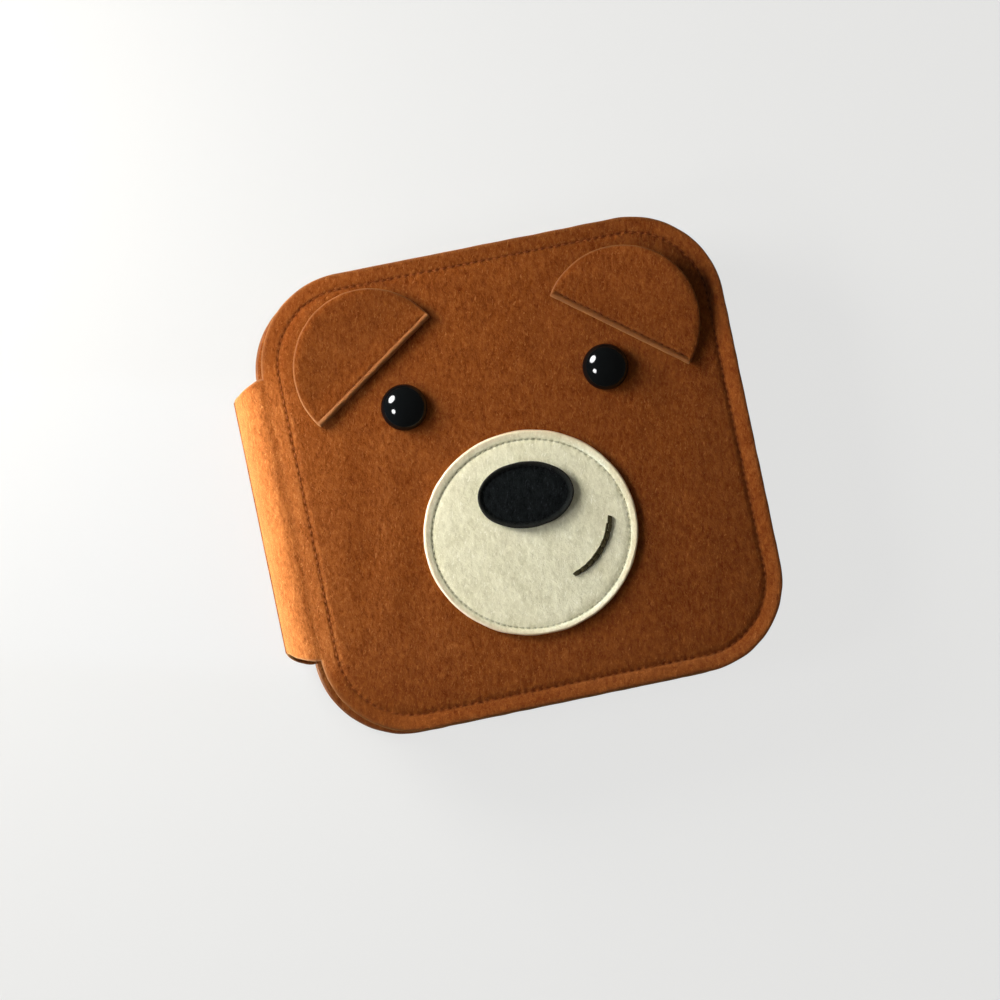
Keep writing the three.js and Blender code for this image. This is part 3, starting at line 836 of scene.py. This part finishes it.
def cover_relief(cut, rise, crown, seed):
    """The outer face's height: a crowned pad inside the seam, the groove and the rim."""
    x, y = cut.points.T
    pad = smooth(cut.inset, COVER_SEAM, 3 * COVER_SEAM)
    groove = COVER_GROOVE * seam_dip(cut, COVER_SEAM, GROOVE_WIDTHS)
    level = crown * (pad - (cut.inset < COVER_SEAM)) - groove
    share = COVER_RIM_UNEVEN_SHARE + (1 - COVER_RIM_UNEVEN_SHARE) * pad
    return level + rise + COVER_UNEVEN * (ripple(x, y, COVER_WAVELENGTH, seed) - 1) * share


def spine_table():
    """Lengths along the bend from the fold, with the outer surface's points and normals there."""
    angle = np.linspace(0, math.pi / 2, 400)
    reach = FOLD_X - SPINE_LOW[0]
    half = TOP / 2
    points = np.stack([FOLD_X - reach * np.sin(angle), half + half * np.cos(angle)], axis=1)
    normals = np.stack([-half * np.sin(angle), reach * np.cos(angle)], axis=1)
    normals /= np.linalg.norm(normals, axis=1)[:, None]
    return run_along(points), points, normals


SPINE_RUN, SPINE_POINTS, SPINE_NORMALS = spine_table()
BEND = SPINE_RUN[-1]


def on_cover(points, height):
    """Flat felt at a height over the front cover's face, going round the spine's bend past the fold."""
    reach = np.clip(FOLD_X - points[:, 0], 0, BEND)
    x, z, along_x, along_z = (
        np.interp(reach, SPINE_RUN, values)
        for values in (*SPINE_POINTS.T, *SPINE_NORMALS.T)
    )
    flat = points[:, 0] > FOLD_X
    out = np.where(flat, points[:, 0], x + along_x * height)
    up = np.where(flat, TOP + height, z + along_z * height)
    return np.stack([out, points[:, 1], up], axis=1)


def on_back(points, height):
    """The same felt on the back cover, which is the front's mirror image."""
    placed = on_cover(points, height)
    placed[:, 2] = TOP - placed[:, 2]
    return placed


def spine_half_height(reach):
    """Half the band's height at a length along its bend: its ends dip and its corners are rounded."""
    across = np.interp(reach, SPINE_RUN, FOLD_X - SPINE_POINTS[:, 0]) / (FOLD_X - SPINE_LOW[0])
    return SPINE_HIGH[1] - SPINE_END_DIP * across ** 2 - SPINE_CORNER * across ** 12


def cover_cut():
    height = size_of("front_cover_felt")[1]
    seam = rounded_seam(2 * -FOLD_X, height, COVER_RADIUS, COVER_SEAM)
    cut = seamed_cut(seam, COVER_SEAM, COVER_PITCH, COVER_RINGS, COVER_GRID, COVER_POINTS_PER_STITCH)
    reaches = list(np.linspace(0, BEND, SPINE_COLUMNS)[1:-1]) + [BEND - JOIN_SLIVER, BEND]
    return with_strip(cut, SPINE_HIGH[1], reaches, spine_half_height)


def cover_shell(name, cut, place, seed, nodes):
    """A cover's outer felt with its half of the spine, which bends at the fold.

    The back cover lies on the ground, so its rim and its middle don't rise."""
    joined = cut.points[:, 0] < FOLD_X - BEND + JOIN_SLIVER / 2
    below = place is on_back
    rise = rim_rise(cut, below)
    # Painted shade along the seam, uneven in strength
    strength = COVER_PRESS_AND_SHADE + uneven(cut, COVER_PRESS_AND_SHADE_WAVE, seed + 60)
    groove = seam_dip(cut, COVER_SEAM, COVER_PRESS_AND_SHADE_WIDTHS)
    # A pale band at the free rim's edge: rubbed felt and painted highlight
    edge = smooth(-cut.inset, -COVER_WEAR_AND_HIGHLIGHT_WIDTH, 0) * free_rim(*cut.points.T, 2.0)
    upper = cover_relief(cut, rise, 0.0 if below else COVER_CROWN, seed)
    under = -COVER_FELT + rise * FOLLOW_SHARE
    shell = felt(
        name, cut, place, upper, under, BROWN, joined=joined, mirrored=below,
        press=np.clip(groove, 0, 1) * strength, worn_and_highlit=COVER_WEAR_AND_HIGHLIGHT * edge)
    belongs(shell, None, "cover_felt", *nodes)
    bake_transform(shell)


def cover_threads(name, cut, place, body):
    """The seam's thread on a cover's face and on its lining."""
    lining_face = -COVER_FELT - GAP - LINING_FELT

    def place_within(points, height):
        return place(points, lining_face + LINING_THREAD_SINK - height)

    starts, ends = hole_pairs(cut.holes)
    level = COVER_THREAD_LIFT - COVER_GROOVE
    outside = stitches(name + "_seam", starts, ends, place, level, BROWN_THREAD)
    within = stitches(name + "_lining_seam", starts, ends, place_within, 0.0, BROWN_THREAD)
    for thread in (outside, within):
        belongs(thread, body, "cover_felt")


def lining(name, place, body, seed):
    """A cover's lining: flat under the rim, compressed at the seam, where its shade is painted, and
    swollen over the wadding.
    """
    size = size_of("front_cover_lining")
    seam = rounded_seam(size[0], size[1], COVER_RADIUS, COVER_SEAM)
    cut = seamed_cut(seam, COVER_SEAM, COVER_PITCH, LINING_RINGS, PAGE_GRID, PAGE_POINTS_PER_STITCH)
    below = place is on_back
    step = LINING_STEP * smooth(cut.inset, COVER_SEAM, LINING_STEP_INSET)
    upper = rim_rise(cut, below) * FOLLOW_SHARE - COVER_FELT - GAP - step
    groove = LINING_GROOVE * seam_dip(cut, COVER_SEAM, THIN_GROOVE_WIDTHS)
    under = upper - LINING_FELT + groove + uneven(cut, LINING_WAVE, seed)
    # Painted shade along the seam
    pressed = seam_dip(cut, COVER_SEAM, LINING_PRESS_AND_SHADE_WIDTHS)
    sheet = felt(
        name, cut, place, upper, under, LINING, mirrored=below, press=np.clip(pressed, 0, 1))
    belongs(sheet, body, "lining_felt", name.replace("lining", "cover_lining"))


def wadding(name, place, body, seed):
    """The loose pad between a cover and its lining."""
    size = size_of(name)
    seam = rounded_seam(size[0], size[1], WADDING_RADIUS, WADDING_SEAM)
    cut = seamed_cut(seam, WADDING_SEAM, COVER_PITCH, WADDING_RINGS, PAGE_GRID, 2)
    thin = WADDING_THINNING * (1 - smooth(cut.inset, 0, WADDING_SLOPE))
    upper = -COVER_FELT - GAP - thin + uneven(cut, WADDING_WAVE, seed)
    under = -COVER_FELT - GAP - size[2] + thin + uneven(cut, WADDING_WAVE, seed + 1)
    pad = felt(name + "_pad", cut, place, upper, under, WADDING, mirrored=place is on_back)
    belongs(pad, body, "wadding", name)


def covers():
    cut = cover_cut()
    front_nodes = ["front_cover_felt", "spine_band"]
    cover_shell("front_shell", cut, on_cover, 3, front_nodes)
    cover_shell("back_shell", cut, on_back, 4, ["back_cover_felt"])
    cover_threads("front", cut, on_cover, "front_cover")
    cover_threads("back", cut, on_back, "back_cover")
    lining("front_lining", on_cover, "front_cover", 5)
    lining("back_lining", on_back, "back_cover", 6)
    wadding("front_cover_wadding", on_cover, "front_cover", 7)
    wadding("back_cover_wadding", on_back, "back_cover", 8)


# The face

def over_face(middle, base, turn=0.0, side=1):
    """Places a flat piece round a middle point, turned by an angle, at heights over or under a base."""
    cosine, sine = math.cos(turn), math.sin(turn)

    def place(points, height):
        level = np.broadcast_to(base + side * height, (len(points),))
        x = cosine * points[:, 0] - sine * points[:, 1] + middle[0]
        y = sine * points[:, 0] + cosine * points[:, 1] + middle[1]
        return np.stack([x, y, level], axis=1)
    return place


def oval_patch(node, seam, drift, pitch, groove, swell, turn, rings, material, thread, seed):
    """An oval felt patch with its own seam. Its rim swells up outside the seam."""
    name = node + "_patch"
    low, high = box(node)
    size, middle = high - low, (low + high) / 2
    line = oval_seam(size[0], size[1], seam)
    cut = seamed_cut(line, seam, pitch, rings, PATCH_GRID, COVER_POINTS_PER_STITCH)
    cut.points += smooth(cut.inset, 0, seam)[:, None] * drift
    cut.holes = cut.holes + drift
    tilt = swell * np.clip(1 - cut.inset / seam, 0, 1)
    dip = groove * seam_dip(cut, seam, GROOVE_WIDTHS)
    upper = FACE_FELT + tilt - dip + uneven(cut, PATCH_WAVE, seed)
    # Painted shade along the seam line
    line_press = np.clip(seam_dip(cut, seam, PATCH_PRESS_AND_SHADE_WIDTHS), 0, 1)
    place = over_face(middle, low[2] - PATCH_SINK, turn)
    patch = felt(
        name, cut, place, upper, tilt - PATCH_UNDER_SINK, material,
        # Painted shadows at the needle holes
        press=hole_shadows(cut, seam, HOLE_SHADOW_WIDTH) + PATCH_PRESS_AND_SHADE * line_press,
        worn_and_highlit=PATCH_WEAR * smooth(-cut.inset, -seam, 0))
    starts, ends = hole_pairs(cut.holes, FINE_SEAM_SHARE)
    level = FACE_FELT - groove + PATCH_THREAD_LIFT
    sewing = stitches(name + "_seam", starts, ends, place, level, thread)
    belongs(patch, "front_cover", node + "_felt", node)
    belongs(sewing, "front_cover", node + "_felt")


def smile():
    """Back stitches of three strands along part of a circle."""
    base = box("smile_thread")[0][2]
    angle = np.linspace(SMILE_START, SMILE_END, SMILE_STITCHES + 1)
    step = angle[1] - angle[0]
    rng = np.random.default_rng(21)
    starts, ends = [], []
    for number in range(SMILE_STITCHES):
        for strand in range(SMILE_STRANDS):
            across = (strand - (SMILE_STRANDS - 1) / 2) * SMILE_WIDTH / SMILE_STRANDS
            from_middle = abs(2 * (number + 0.5) / SMILE_STITCHES - 1)
            taper = 1 - SMILE_TAPER_SHARE * from_middle ** SMILE_TAPER_POWER
            radius = SMILE_RADIUS + across * taper + rng.normal(0, SMILE_SPREAD, 2)
            first = angle[number] - step * rng.uniform(0, SMILE_OVERLAP_SHARE)
            last = angle[number + 1] + step * rng.uniform(0, SMILE_OVERLAP_SHARE)
            starts.append(np.array([math.cos(first), math.sin(first)]) * radius[0] + SMILE_CENTRE)
            ends.append(np.array([math.cos(last), math.sin(last)]) * radius[1] + SMILE_CENTRE)
    thread = stitches(
        "smile_stitches", np.array(starts), np.array(ends), over_face((0, 0), base), SMILE_LEVEL,
        SMILE_THREAD, rise=SMILE_RISE)
    belongs(thread, "front_cover", "smile_thread", "smile_thread")


def eye(name):
    """A domed button, smooth where the frame's is faceted, with an upright edge and a flattened dome."""
    low, high = box(name)
    middle, radius = (low + high) / 2, (high[0] - low[0]) / 2
    base = TOP + GAP
    height = high[2] - base
    dome = height * (1 - EYE_EDGE_SHARE)
    rings = [(STEM_RADIUS, low[2]), (STEM_RADIUS, base)]
    rings += [(EYE_FOOT_SHARE * radius, base), (radius, base + EYE_FOOT_RISE)]
    rings += [
        (radius * math.cos(angle), high[2] - dome + dome * math.sin(angle))
        for angle in np.linspace(0, math.pi / 2, EYE_RINGS)[:-1]
    ]
    turn = np.arange(EYE_SIDES) * 2 * math.pi / EYE_SIDES
    circle = np.stack([np.cos(turn), np.sin(turn)], axis=1)
    layers = [np.column_stack([reach * circle, np.full(EYE_SIDES, z)]) for reach, z in rings]
    points = np.vstack([[[0, 0, low[2]]], *layers, [[0, 0, high[2]]]])
    top = len(points) - 1
    last = top - EYE_SIDES
    pairs = [(at, (at + 1) % EYE_SIDES) for at in range(EYE_SIDES)]
    faces = [(0, 1 + after, 1 + at) for at, after in pairs]
    for start in range(1, last, EYE_SIDES):
        faces += ring_faces(start, start + EYE_SIDES, EYE_SIDES)
    faces += [(last + at, last + after, top) for at, after in pairs]
    button = mesh_object(name + "_button", points + [middle[0], middle[1], 0], faces, EYE)
    belongs(button, "front_cover", "eye_plastic", name)


# Ears

def ear_outline():
    """The ear's edge: the chord below the seam, then round the disc, anticlockwise."""
    low = math.asin(-EAR_LIP / EAR_RADIUS)
    angle = np.linspace(low, math.pi - low, 160)
    disc = EAR_RADIUS * np.stack([np.cos(angle), np.sin(angle)], axis=1)
    chord = np.linspace(disc[-1], disc[0], 90)[1:-1]
    return np.vstack([disc, chord])


def ear_cut():
    """An ear laid flat, with rows of points along its seam."""
    outline = ear_outline()
    loop, normals = evenly(outline, EAR_EDGE_POINTS)
    inner = loop - normals * EAR_EDGE_INSET
    rows = np.array([
        (x, y)
        for y in EAR_SEAM_ROWS
        for x in np.arange(-EAR_RADIUS, EAR_RADIUS, EAR_PITCH / EAR_POINTS_PER_STITCH)
    ])
    middle = grid(inner, EAR_GRID)
    middle = middle[middle[:, 1] > EAR_GRID_START]
    middle = np.vstack([rows[inside(rows, inner, EAR_ROW_CLEARANCE)], middle])
    faces = ring_faces(0, len(loop), len(loop))
    faces += [tuple(len(loop) + corner for corner in face) for face in fill(inner, middle)]
    points = np.vstack([loop, inner, middle])
    return Cut(points, faces, np.zeros(len(points)), points[:, 0] / EAR_PITCH, None)


def ear(name, body, curl, slope, groove, lip_wear_and_highlight, seed):
    """An ear in one piece: its lip curls up from the seam, and its flap stands off the cover."""
    middle = pivot(body + "_lifts")
    axis = np.array(JOINTS[body + "_lifts"]["axis"])
    up = np.array([-axis[1], axis[0], 0])
    cut = ear_cut()
    half = EAR_FELT / 2

    def place(points, height):
        """Above the seam the felt rises as an arc and then straight, and below it the lip bends up."""
        x, y = points.T
        lip = np.clip(-y, 0, None)
        turn = np.minimum(lip / EAR_LIP_BEND, curl)
        straight = lip - EAR_LIP_BEND * turn
        flap = np.clip(y, 0, None)
        bent = np.where(flap < EAR_BEND, flap ** 2 / (2 * EAR_BEND), flap - EAR_BEND / 2)
        wave = EAR_WAVE * ripple(x, y, EAR_WAVELENGTH, seed) * smooth(y, EAR_WAVE_START, EAR_RADIUS)
        along = flap - EAR_LIP_BEND * np.sin(turn) - straight * math.cos(curl)
        level = EAR_LIP_BEND * (1 - np.cos(turn)) + straight * math.sin(curl) + slope * bent + wave
        along = along + np.sin(turn) * (height - half)
        level = level + np.cos(turn) * (height - half)
        placed = middle + x[:, None] * axis + along[:, None] * up
        placed[:, 2] += level - half
        return placed

    x, y = cut.points.T
    sewn = EAR_RADIUS - EAR_SEAM_END > np.abs(x)
    dip = groove * (1 - smooth(np.abs(y - EAR_SEAM), 0, EAR_SEAM_WIDTH)) * sewn * hole_depth(cut)
    upper = EAR_FELT - dip + uneven(cut, EAR_FACE_WAVE, seed + 9)
    # Painted shade in the seam's groove
    press = np.clip(dip / EAR_DEEP_GROOVE, 0, 1) ** 2
    # The lip is paler by rubbing, and the left ear's by painted highlight too
    worn_and_highlit = lip_wear_and_highlight * smooth(-y, -EAR_SEAM, EAR_WEAR_AND_HIGHLIGHT_END)
    flap = felt(name, cut, place, upper, np.zeros(len(x)), BROWN, press=press, worn_and_highlit=worn_and_highlit)
    at = (np.arange(EAR_STITCHES) - EAR_STITCHES / 2)[:, None]
    starts = (at + STITCH_GAP_SHARE) * (EAR_PITCH, 0) + (0, EAR_SEAM)
    ends = (at + (1 - STITCH_GAP_SHARE)) * (EAR_PITCH, 0) + (0, EAR_SEAM)
    level = EAR_FELT - groove + EAR_THREAD_LIFT
    sewing = stitches(name + "_seam", starts, ends, place, level, BROWN_THREAD)
    belongs(sewing, "front_cover", "cover_felt")
    belongs(flap, None, "cover_felt", body + "_flap", body + "_sewn_edge")
    start, end = (middle + up * EAR_BEND_START) * MM, (middle + up * EAR_BEND_END) * MM
    tuple(start)
    tuple(end)
    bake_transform(flap)


# Leaves

def leaf_cut():
    size = size_of("leaf_1_front_sheet")
    seam = rounded_seam(size[0], size[1], LEAF_RADIUS, LEAF_SEAM)
    return seamed_cut(seam, LEAF_SEAM, COVER_PITCH, LEAF_RINGS, PAGE_GRID, PAGE_POINTS_PER_STITCH)


def front_page(body, cut, number):
    low, high = box(f"{body}_front_sheet")
    groove = seam_dip(cut, LEAF_SEAM, THIN_GROOVE_WIDTHS)
    upper = PAGE_FELT - LEAF_GROOVE * groove + uneven(cut, PAGE_WAVE, number)
    # The seam's groove is also darkened with painted shade
    page = felt(
        f"{body}_front_page", cut, over_face((low + high) / 2, low[2]), upper, np.zeros(len(upper)),
        PAGE, press=LEAF_PRESS_AND_SHADE * groove)
    belongs(page, body, "page_felt", f"{body}_front_sheet")


def back_page(body, cut, number):
    """A leaf's back sheet, with its tongue that reaches into the spine."""
    low, high = box(f"{body}_front_sheet")
    base = box(f"{body}_back_sheet")[0][2]
    tab_low, tab_high = box(f"{body}_tab")
    middle = (low + high) / 2
    reach = middle[0] + cut.points[:, 0].min() - tab_low[0]
    reaches = np.linspace(0, reach, TONGUE_COLUMNS)[1:]
    strip = with_strip(cut, tab_high[1], reaches, lambda _: tab_high[1])
    groove = seam_dip(strip, LEAF_SEAM, THIN_GROOVE_WIDTHS) * (strip.inset > 0)
    under = LEAF_GROOVE * groove + uneven(strip, PAGE_UNDER_WAVE, number + 20)
    # The seam's groove is also darkened with painted shade
    page = felt(
        f"{body}_back_page", strip, over_face(middle, base), np.full(len(under), PAGE_FELT), under, PAGE,
        press=LEAF_PRESS_AND_SHADE * groove)
    belongs(page, None, "page_felt", f"{body}_back_sheet", f"{body}_tab")
    x, _, z = pivot(f"{body}_turns")
    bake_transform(page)


def page_seams(body, cut):
    """The thread that shows on both sides of a leaf."""
    low, high = box(f"{body}_front_sheet")
    base = box(f"{body}_back_sheet")[0][2]
    middle = (low + high) / 2
    starts, ends = hole_pairs(cut.holes)
    sunk = LEAF_GROOVE - PAGE_THREAD_LIFT
    for side, place in (
            ("front", over_face(middle, high[2] - sunk)),
            ("back", over_face(middle, base + sunk, side=-1))):
        thread = stitches(f"{body}_{side}_seam", starts, ends, place, 0.0, CREAM_THREAD)
        belongs(thread, body, "page_felt")


def leaf(number, cut):
    """A leaf: its two sheets, their seam and a felt shape on each side."""
    body = f"leaf_{number}"
    front_page(body, cut, number)
    back_page(body, cut, number)
    page_seams(body, cut)
    page_shape(f"{body}_front_shape", body, False, 40 + number)
    page_shape(f"{body}_back_shape", body, True, 50 + number)


def outline_of(node):
    """The outline of a frame node that is a flat shape, seen from above, round its middle."""
    points = np.array([v.co for v in frame["nodes"][node].data.vertices]) / MM
    low, high = box(node)
    upper = points[points[:, 2] > high[2] - LEVEL_TOLERANCE][:, :2]
    upper = np.unique(upper.round(3), axis=0)
    middle = np.array([(low[0] + high[0]) / 2, (low[1] + high[1]) / 2])
    away = upper - middle
    return away[np.argsort(np.arctan2(away[:, 1], away[:, 0]))], middle


def distances(points, loop):
    """How far each point lies from the nearest corner of a loop."""
    return np.array([np.sqrt(((loop - point) ** 2).sum(1).min()) for point in points])


def area_of(outline):
    after = np.roll(outline, -1, axis=0)
    return 0.5 * abs((outline[:, 0] * after[:, 1] - after[:, 0] * outline[:, 1]).sum())


def shape_cut(outline):
    """A cut whose insets are true distances, for an outline with notches, with an even line of holes."""
    loop, normals = evenly(outline, SHAPE_EDGE_POINTS)
    inner = loop - normals * SHAPE_EDGE_INSET
    middle = grid(inner, SHAPE_GRID)
    points = np.vstack([loop, inner, middle])
    inset = distances(points, loop)
    seam = loop - normals * SHAPE_SEAM
    seam = seam[distances(seam, loop) > SHAPE_SEAM - SEAM_TOLERANCE]
    stitch_count = round(length_of(seam) / SHAPE_PITCH)
    holes, _ = evenly(seam, stitch_count)
    nearest = np.array([((seam - point) ** 2).sum(1).argmin() for point in points])
    faces = ring_faces(0, len(loop), len(loop))
    faces += [tuple(len(loop) + corner for corner in face) for face in fill(inner, middle)]
    return Cut(points, faces, inset, nearest * stitch_count / len(seam), holes)


def page_shape(node, body, below, seed):
    """One plain felt shape sewn to a page, on the page's upper face or below its under face."""
    outline, middle = outline_of(node)
    cut = shape_cut(outline)
    low, high = box(node)
    slot, dark, light = COLOURS[node]
    material = felt_material(slot + "_" + body, dark, light, light, light, dark, sheen=(0.2, light))
    groove = seam_dip(cut, SHAPE_SEAM, SHAPE_GROOVE_WIDTHS)
    crown = SHAPE_CROWN * smooth(cut.inset, SHAPE_SEAM, SHAPE_CROWN_INSET)
    upper = SHAPE_FELT - SHAPE_GROOVE * groove + crown + uneven(cut, SHAPE_WAVE, seed)
    place = over_face(middle, high[2], side=-1) if below else over_face(middle, low[2])
    # The seam's groove is also darkened with painted shade
    shape = felt(
        node + "_felt", cut, place, upper, np.zeros(len(upper)), material, mirrored=below,
        press=np.clip(groove, 0, 1) ** 2)
    starts, ends = hole_pairs(cut.holes, FINE_SEAM_SHARE)
    level = SHAPE_FELT - SHAPE_THREAD_SINK
    sewing = stitches(node + "_seam", starts, ends, place, level, CREAM_THREAD)
    area_of(outline) * MM * MM
    belongs(shape, body, slot, node)
    belongs(sewing, body, slot)


def washers():
    """The frame's own washers show, with their plastic."""
    plastic = washer_material()
    for node in ("eye_left_washer", "eye_right_washer"):
        frame["nodes"][node].data.materials.clear()
        frame["nodes"][node].data.materials.append(plastic)


def book():
    covers()
    oval_patch("muzzle", **MUZZLE, material=CREAM, thread=CREAM_THREAD, seed=11)
    oval_patch("nose", **NOSE, material=BLACK, thread=BLACK_THREAD, seed=12)
    smile()
    eye("eye_left")
    eye("eye_right")
    ear("left_ear", "ear_left", **LEFT_EAR, seed=13)
    ear("right_ear", "ear_right", **RIGHT_EAR, seed=14)
    cut = leaf_cut()
    for number in (1, 2, 3):
        leaf(number, cut)
    washers()


# Floor, lamps and camera

def view_axes():
    """The photograph's right, up and towards the camera, in the frame's axes."""
    away = np.array([
        -math.sin(CAMERA_TOWARDS_SPINE),
        -math.sin(CAMERA_FROM_BELOW) * math.cos(CAMERA_TOWARDS_SPINE),
        0.0,
    ])
    away[2] = math.sqrt(1 - away[0] ** 2 - away[1] ** 2)
    right = np.cross((0, 1, 0), away)
    right /= np.linalg.norm(right)
    up = np.cross(away, right)
    cosine, sine = math.cos(CAMERA_ROLL), math.sin(CAMERA_ROLL)
    return cosine * right - sine * up, sine * right + cosine * up, away


RIGHT, UP, AWAY = view_axes()


def aimed(position, right, up, away):
    """The matrix of something at a place in millimetres that looks against away."""
    matrix = Matrix(np.column_stack([right, up, away]).tolist()).to_4x4()
    matrix.translation = Vector(position * MM)
    return matrix


def camera():
    made = bpy.data.objects.new("camera", bpy.data.cameras.new("camera"))
    bpy.context.scene.collection.objects.link(made)
    made.data.sensor_width = SENSOR
    made.data.lens = PIXELS_PER_MM * CAMERA_DISTANCE / IMAGE_PIXELS * SENSOR
    made.data.clip_end = 10
    target = np.array([0, 0, TOP])
    target = target - RIGHT * BOOK_RIGHT_PIXELS / PIXELS_PER_MM - UP * BOOK_UP_PIXELS / PIXELS_PER_MM
    made.matrix_world = aimed(target + AWAY * CAMERA_DISTANCE, RIGHT, UP, AWAY)
    bpy.context.scene.camera = made


def lamp(name, direction, distance, size, power, colour, glint=False):
    """A round soft lamp, placed by its direction in the photograph's right, up and towards the camera.

    It lights the felt, or as a glint it is only mirrored in the eyes."""
    data = bpy.data.lights.new(name, "AREA")
    data.shape = "DISK"
    data.size = size * MM
    way = RIGHT * direction[0] + UP * direction[1] + AWAY * direction[2]
    hang(data, np.array([0, 0, TOP]), way, distance, power, colour, glint)


def beam():
    """A low, narrow beam, about as wide and high as the spine."""
    data = bpy.data.lights.new("beam", "AREA")
    data.shape = "RECTANGLE"
    data.size = BEAM_WIDTH * MM
    data.size_y = BEAM_HEIGHT * MM
    data.spread = BEAM_SPREAD
    target = np.array([SPINE_LOW[0], 0, BEAM_LEVEL])
    hang(data, target, np.array(BEAM_WAY), BEAM_DISTANCE, BEAM_POWER, BEAM_COLOUR, False)


def hang(data, target, way, distance, power, colour, glint):
    """A lamp's object, at a distance from its target and turned to it."""
    data.energy = power
    data.color = colour
    made = bpy.data.objects.new(data.name, data)
    bpy.context.scene.collection.objects.link(made)
    way = way / np.linalg.norm(way)
    made.rotation_mode = "QUATERNION"
    made.location = Vector((target + way * distance) * MM)
    made.rotation_quaternion = Vector(way).to_track_quat("Z", "Y")
    made.visible_camera = False
    made.visible_glossy = glint
    made.visible_diffuse = not glint


def floor():
    """A plain pale floor, which shows its own colour to the camera and still takes shadows."""
    corners = np.array([(-1, -1, 0), (1, -1, 0), (1, 1, 0), (-1, 1, 0)])
    points = corners * FLOOR_HALF - (0, 0, FLOOR_CLEARANCE)
    graph = Graph("floor")
    seen = graph.add("LightPath").outputs["Is Camera Ray"]
    graph.set(Roughness=0.9, Specular_IOR_Level=0.0, Emission_Color=(1.0, 1.0, 0.99, 1.0))
    graph.set(Base_Color=graph.mix(seen, srgb(205, 205, 202), srgb(94, 94, 93)))
    graph.set(Emission_Strength=graph.math("MULTIPLY", seen, 0.72))
    made = mesh_object("floor", points, [(0, 1, 2, 3)], graph.material)


def world():
    made = bpy.data.worlds.new("world")
    made.use_nodes = True
    made.node_tree.nodes["Background"].inputs["Color"].default_value = (1.0, 0.98, 0.95, 1.0)
    made.node_tree.nodes["Background"].inputs["Strength"].default_value = 0.15
    bpy.context.scene.world = made


def lamps():
    warm, mild, white = (1.0, 0.97, 0.92), (1.0, 0.98, 0.95), (1.0, 1.0, 1.0)
    lamp("key", (-0.79, 0.4, 0.47), 330, size=180, power=1.82, colour=warm)
    lamp("second", (-0.71, -0.21, 0.67), 520, size=130, power=0.9, colour=mild)
    beam()
    lamp("glint", (-0.636, 0.528, 0.563), 2000, size=950, power=155, colour=white, glint=True)
    lamp("lower_glint", (-0.529, -0.167, 0.832), 2000, size=520, power=46, colour=white, glint=True)


book()
camera()
lamps()
floor()
world()
bpy.context.scene.view_settings.view_transform = "Standard"
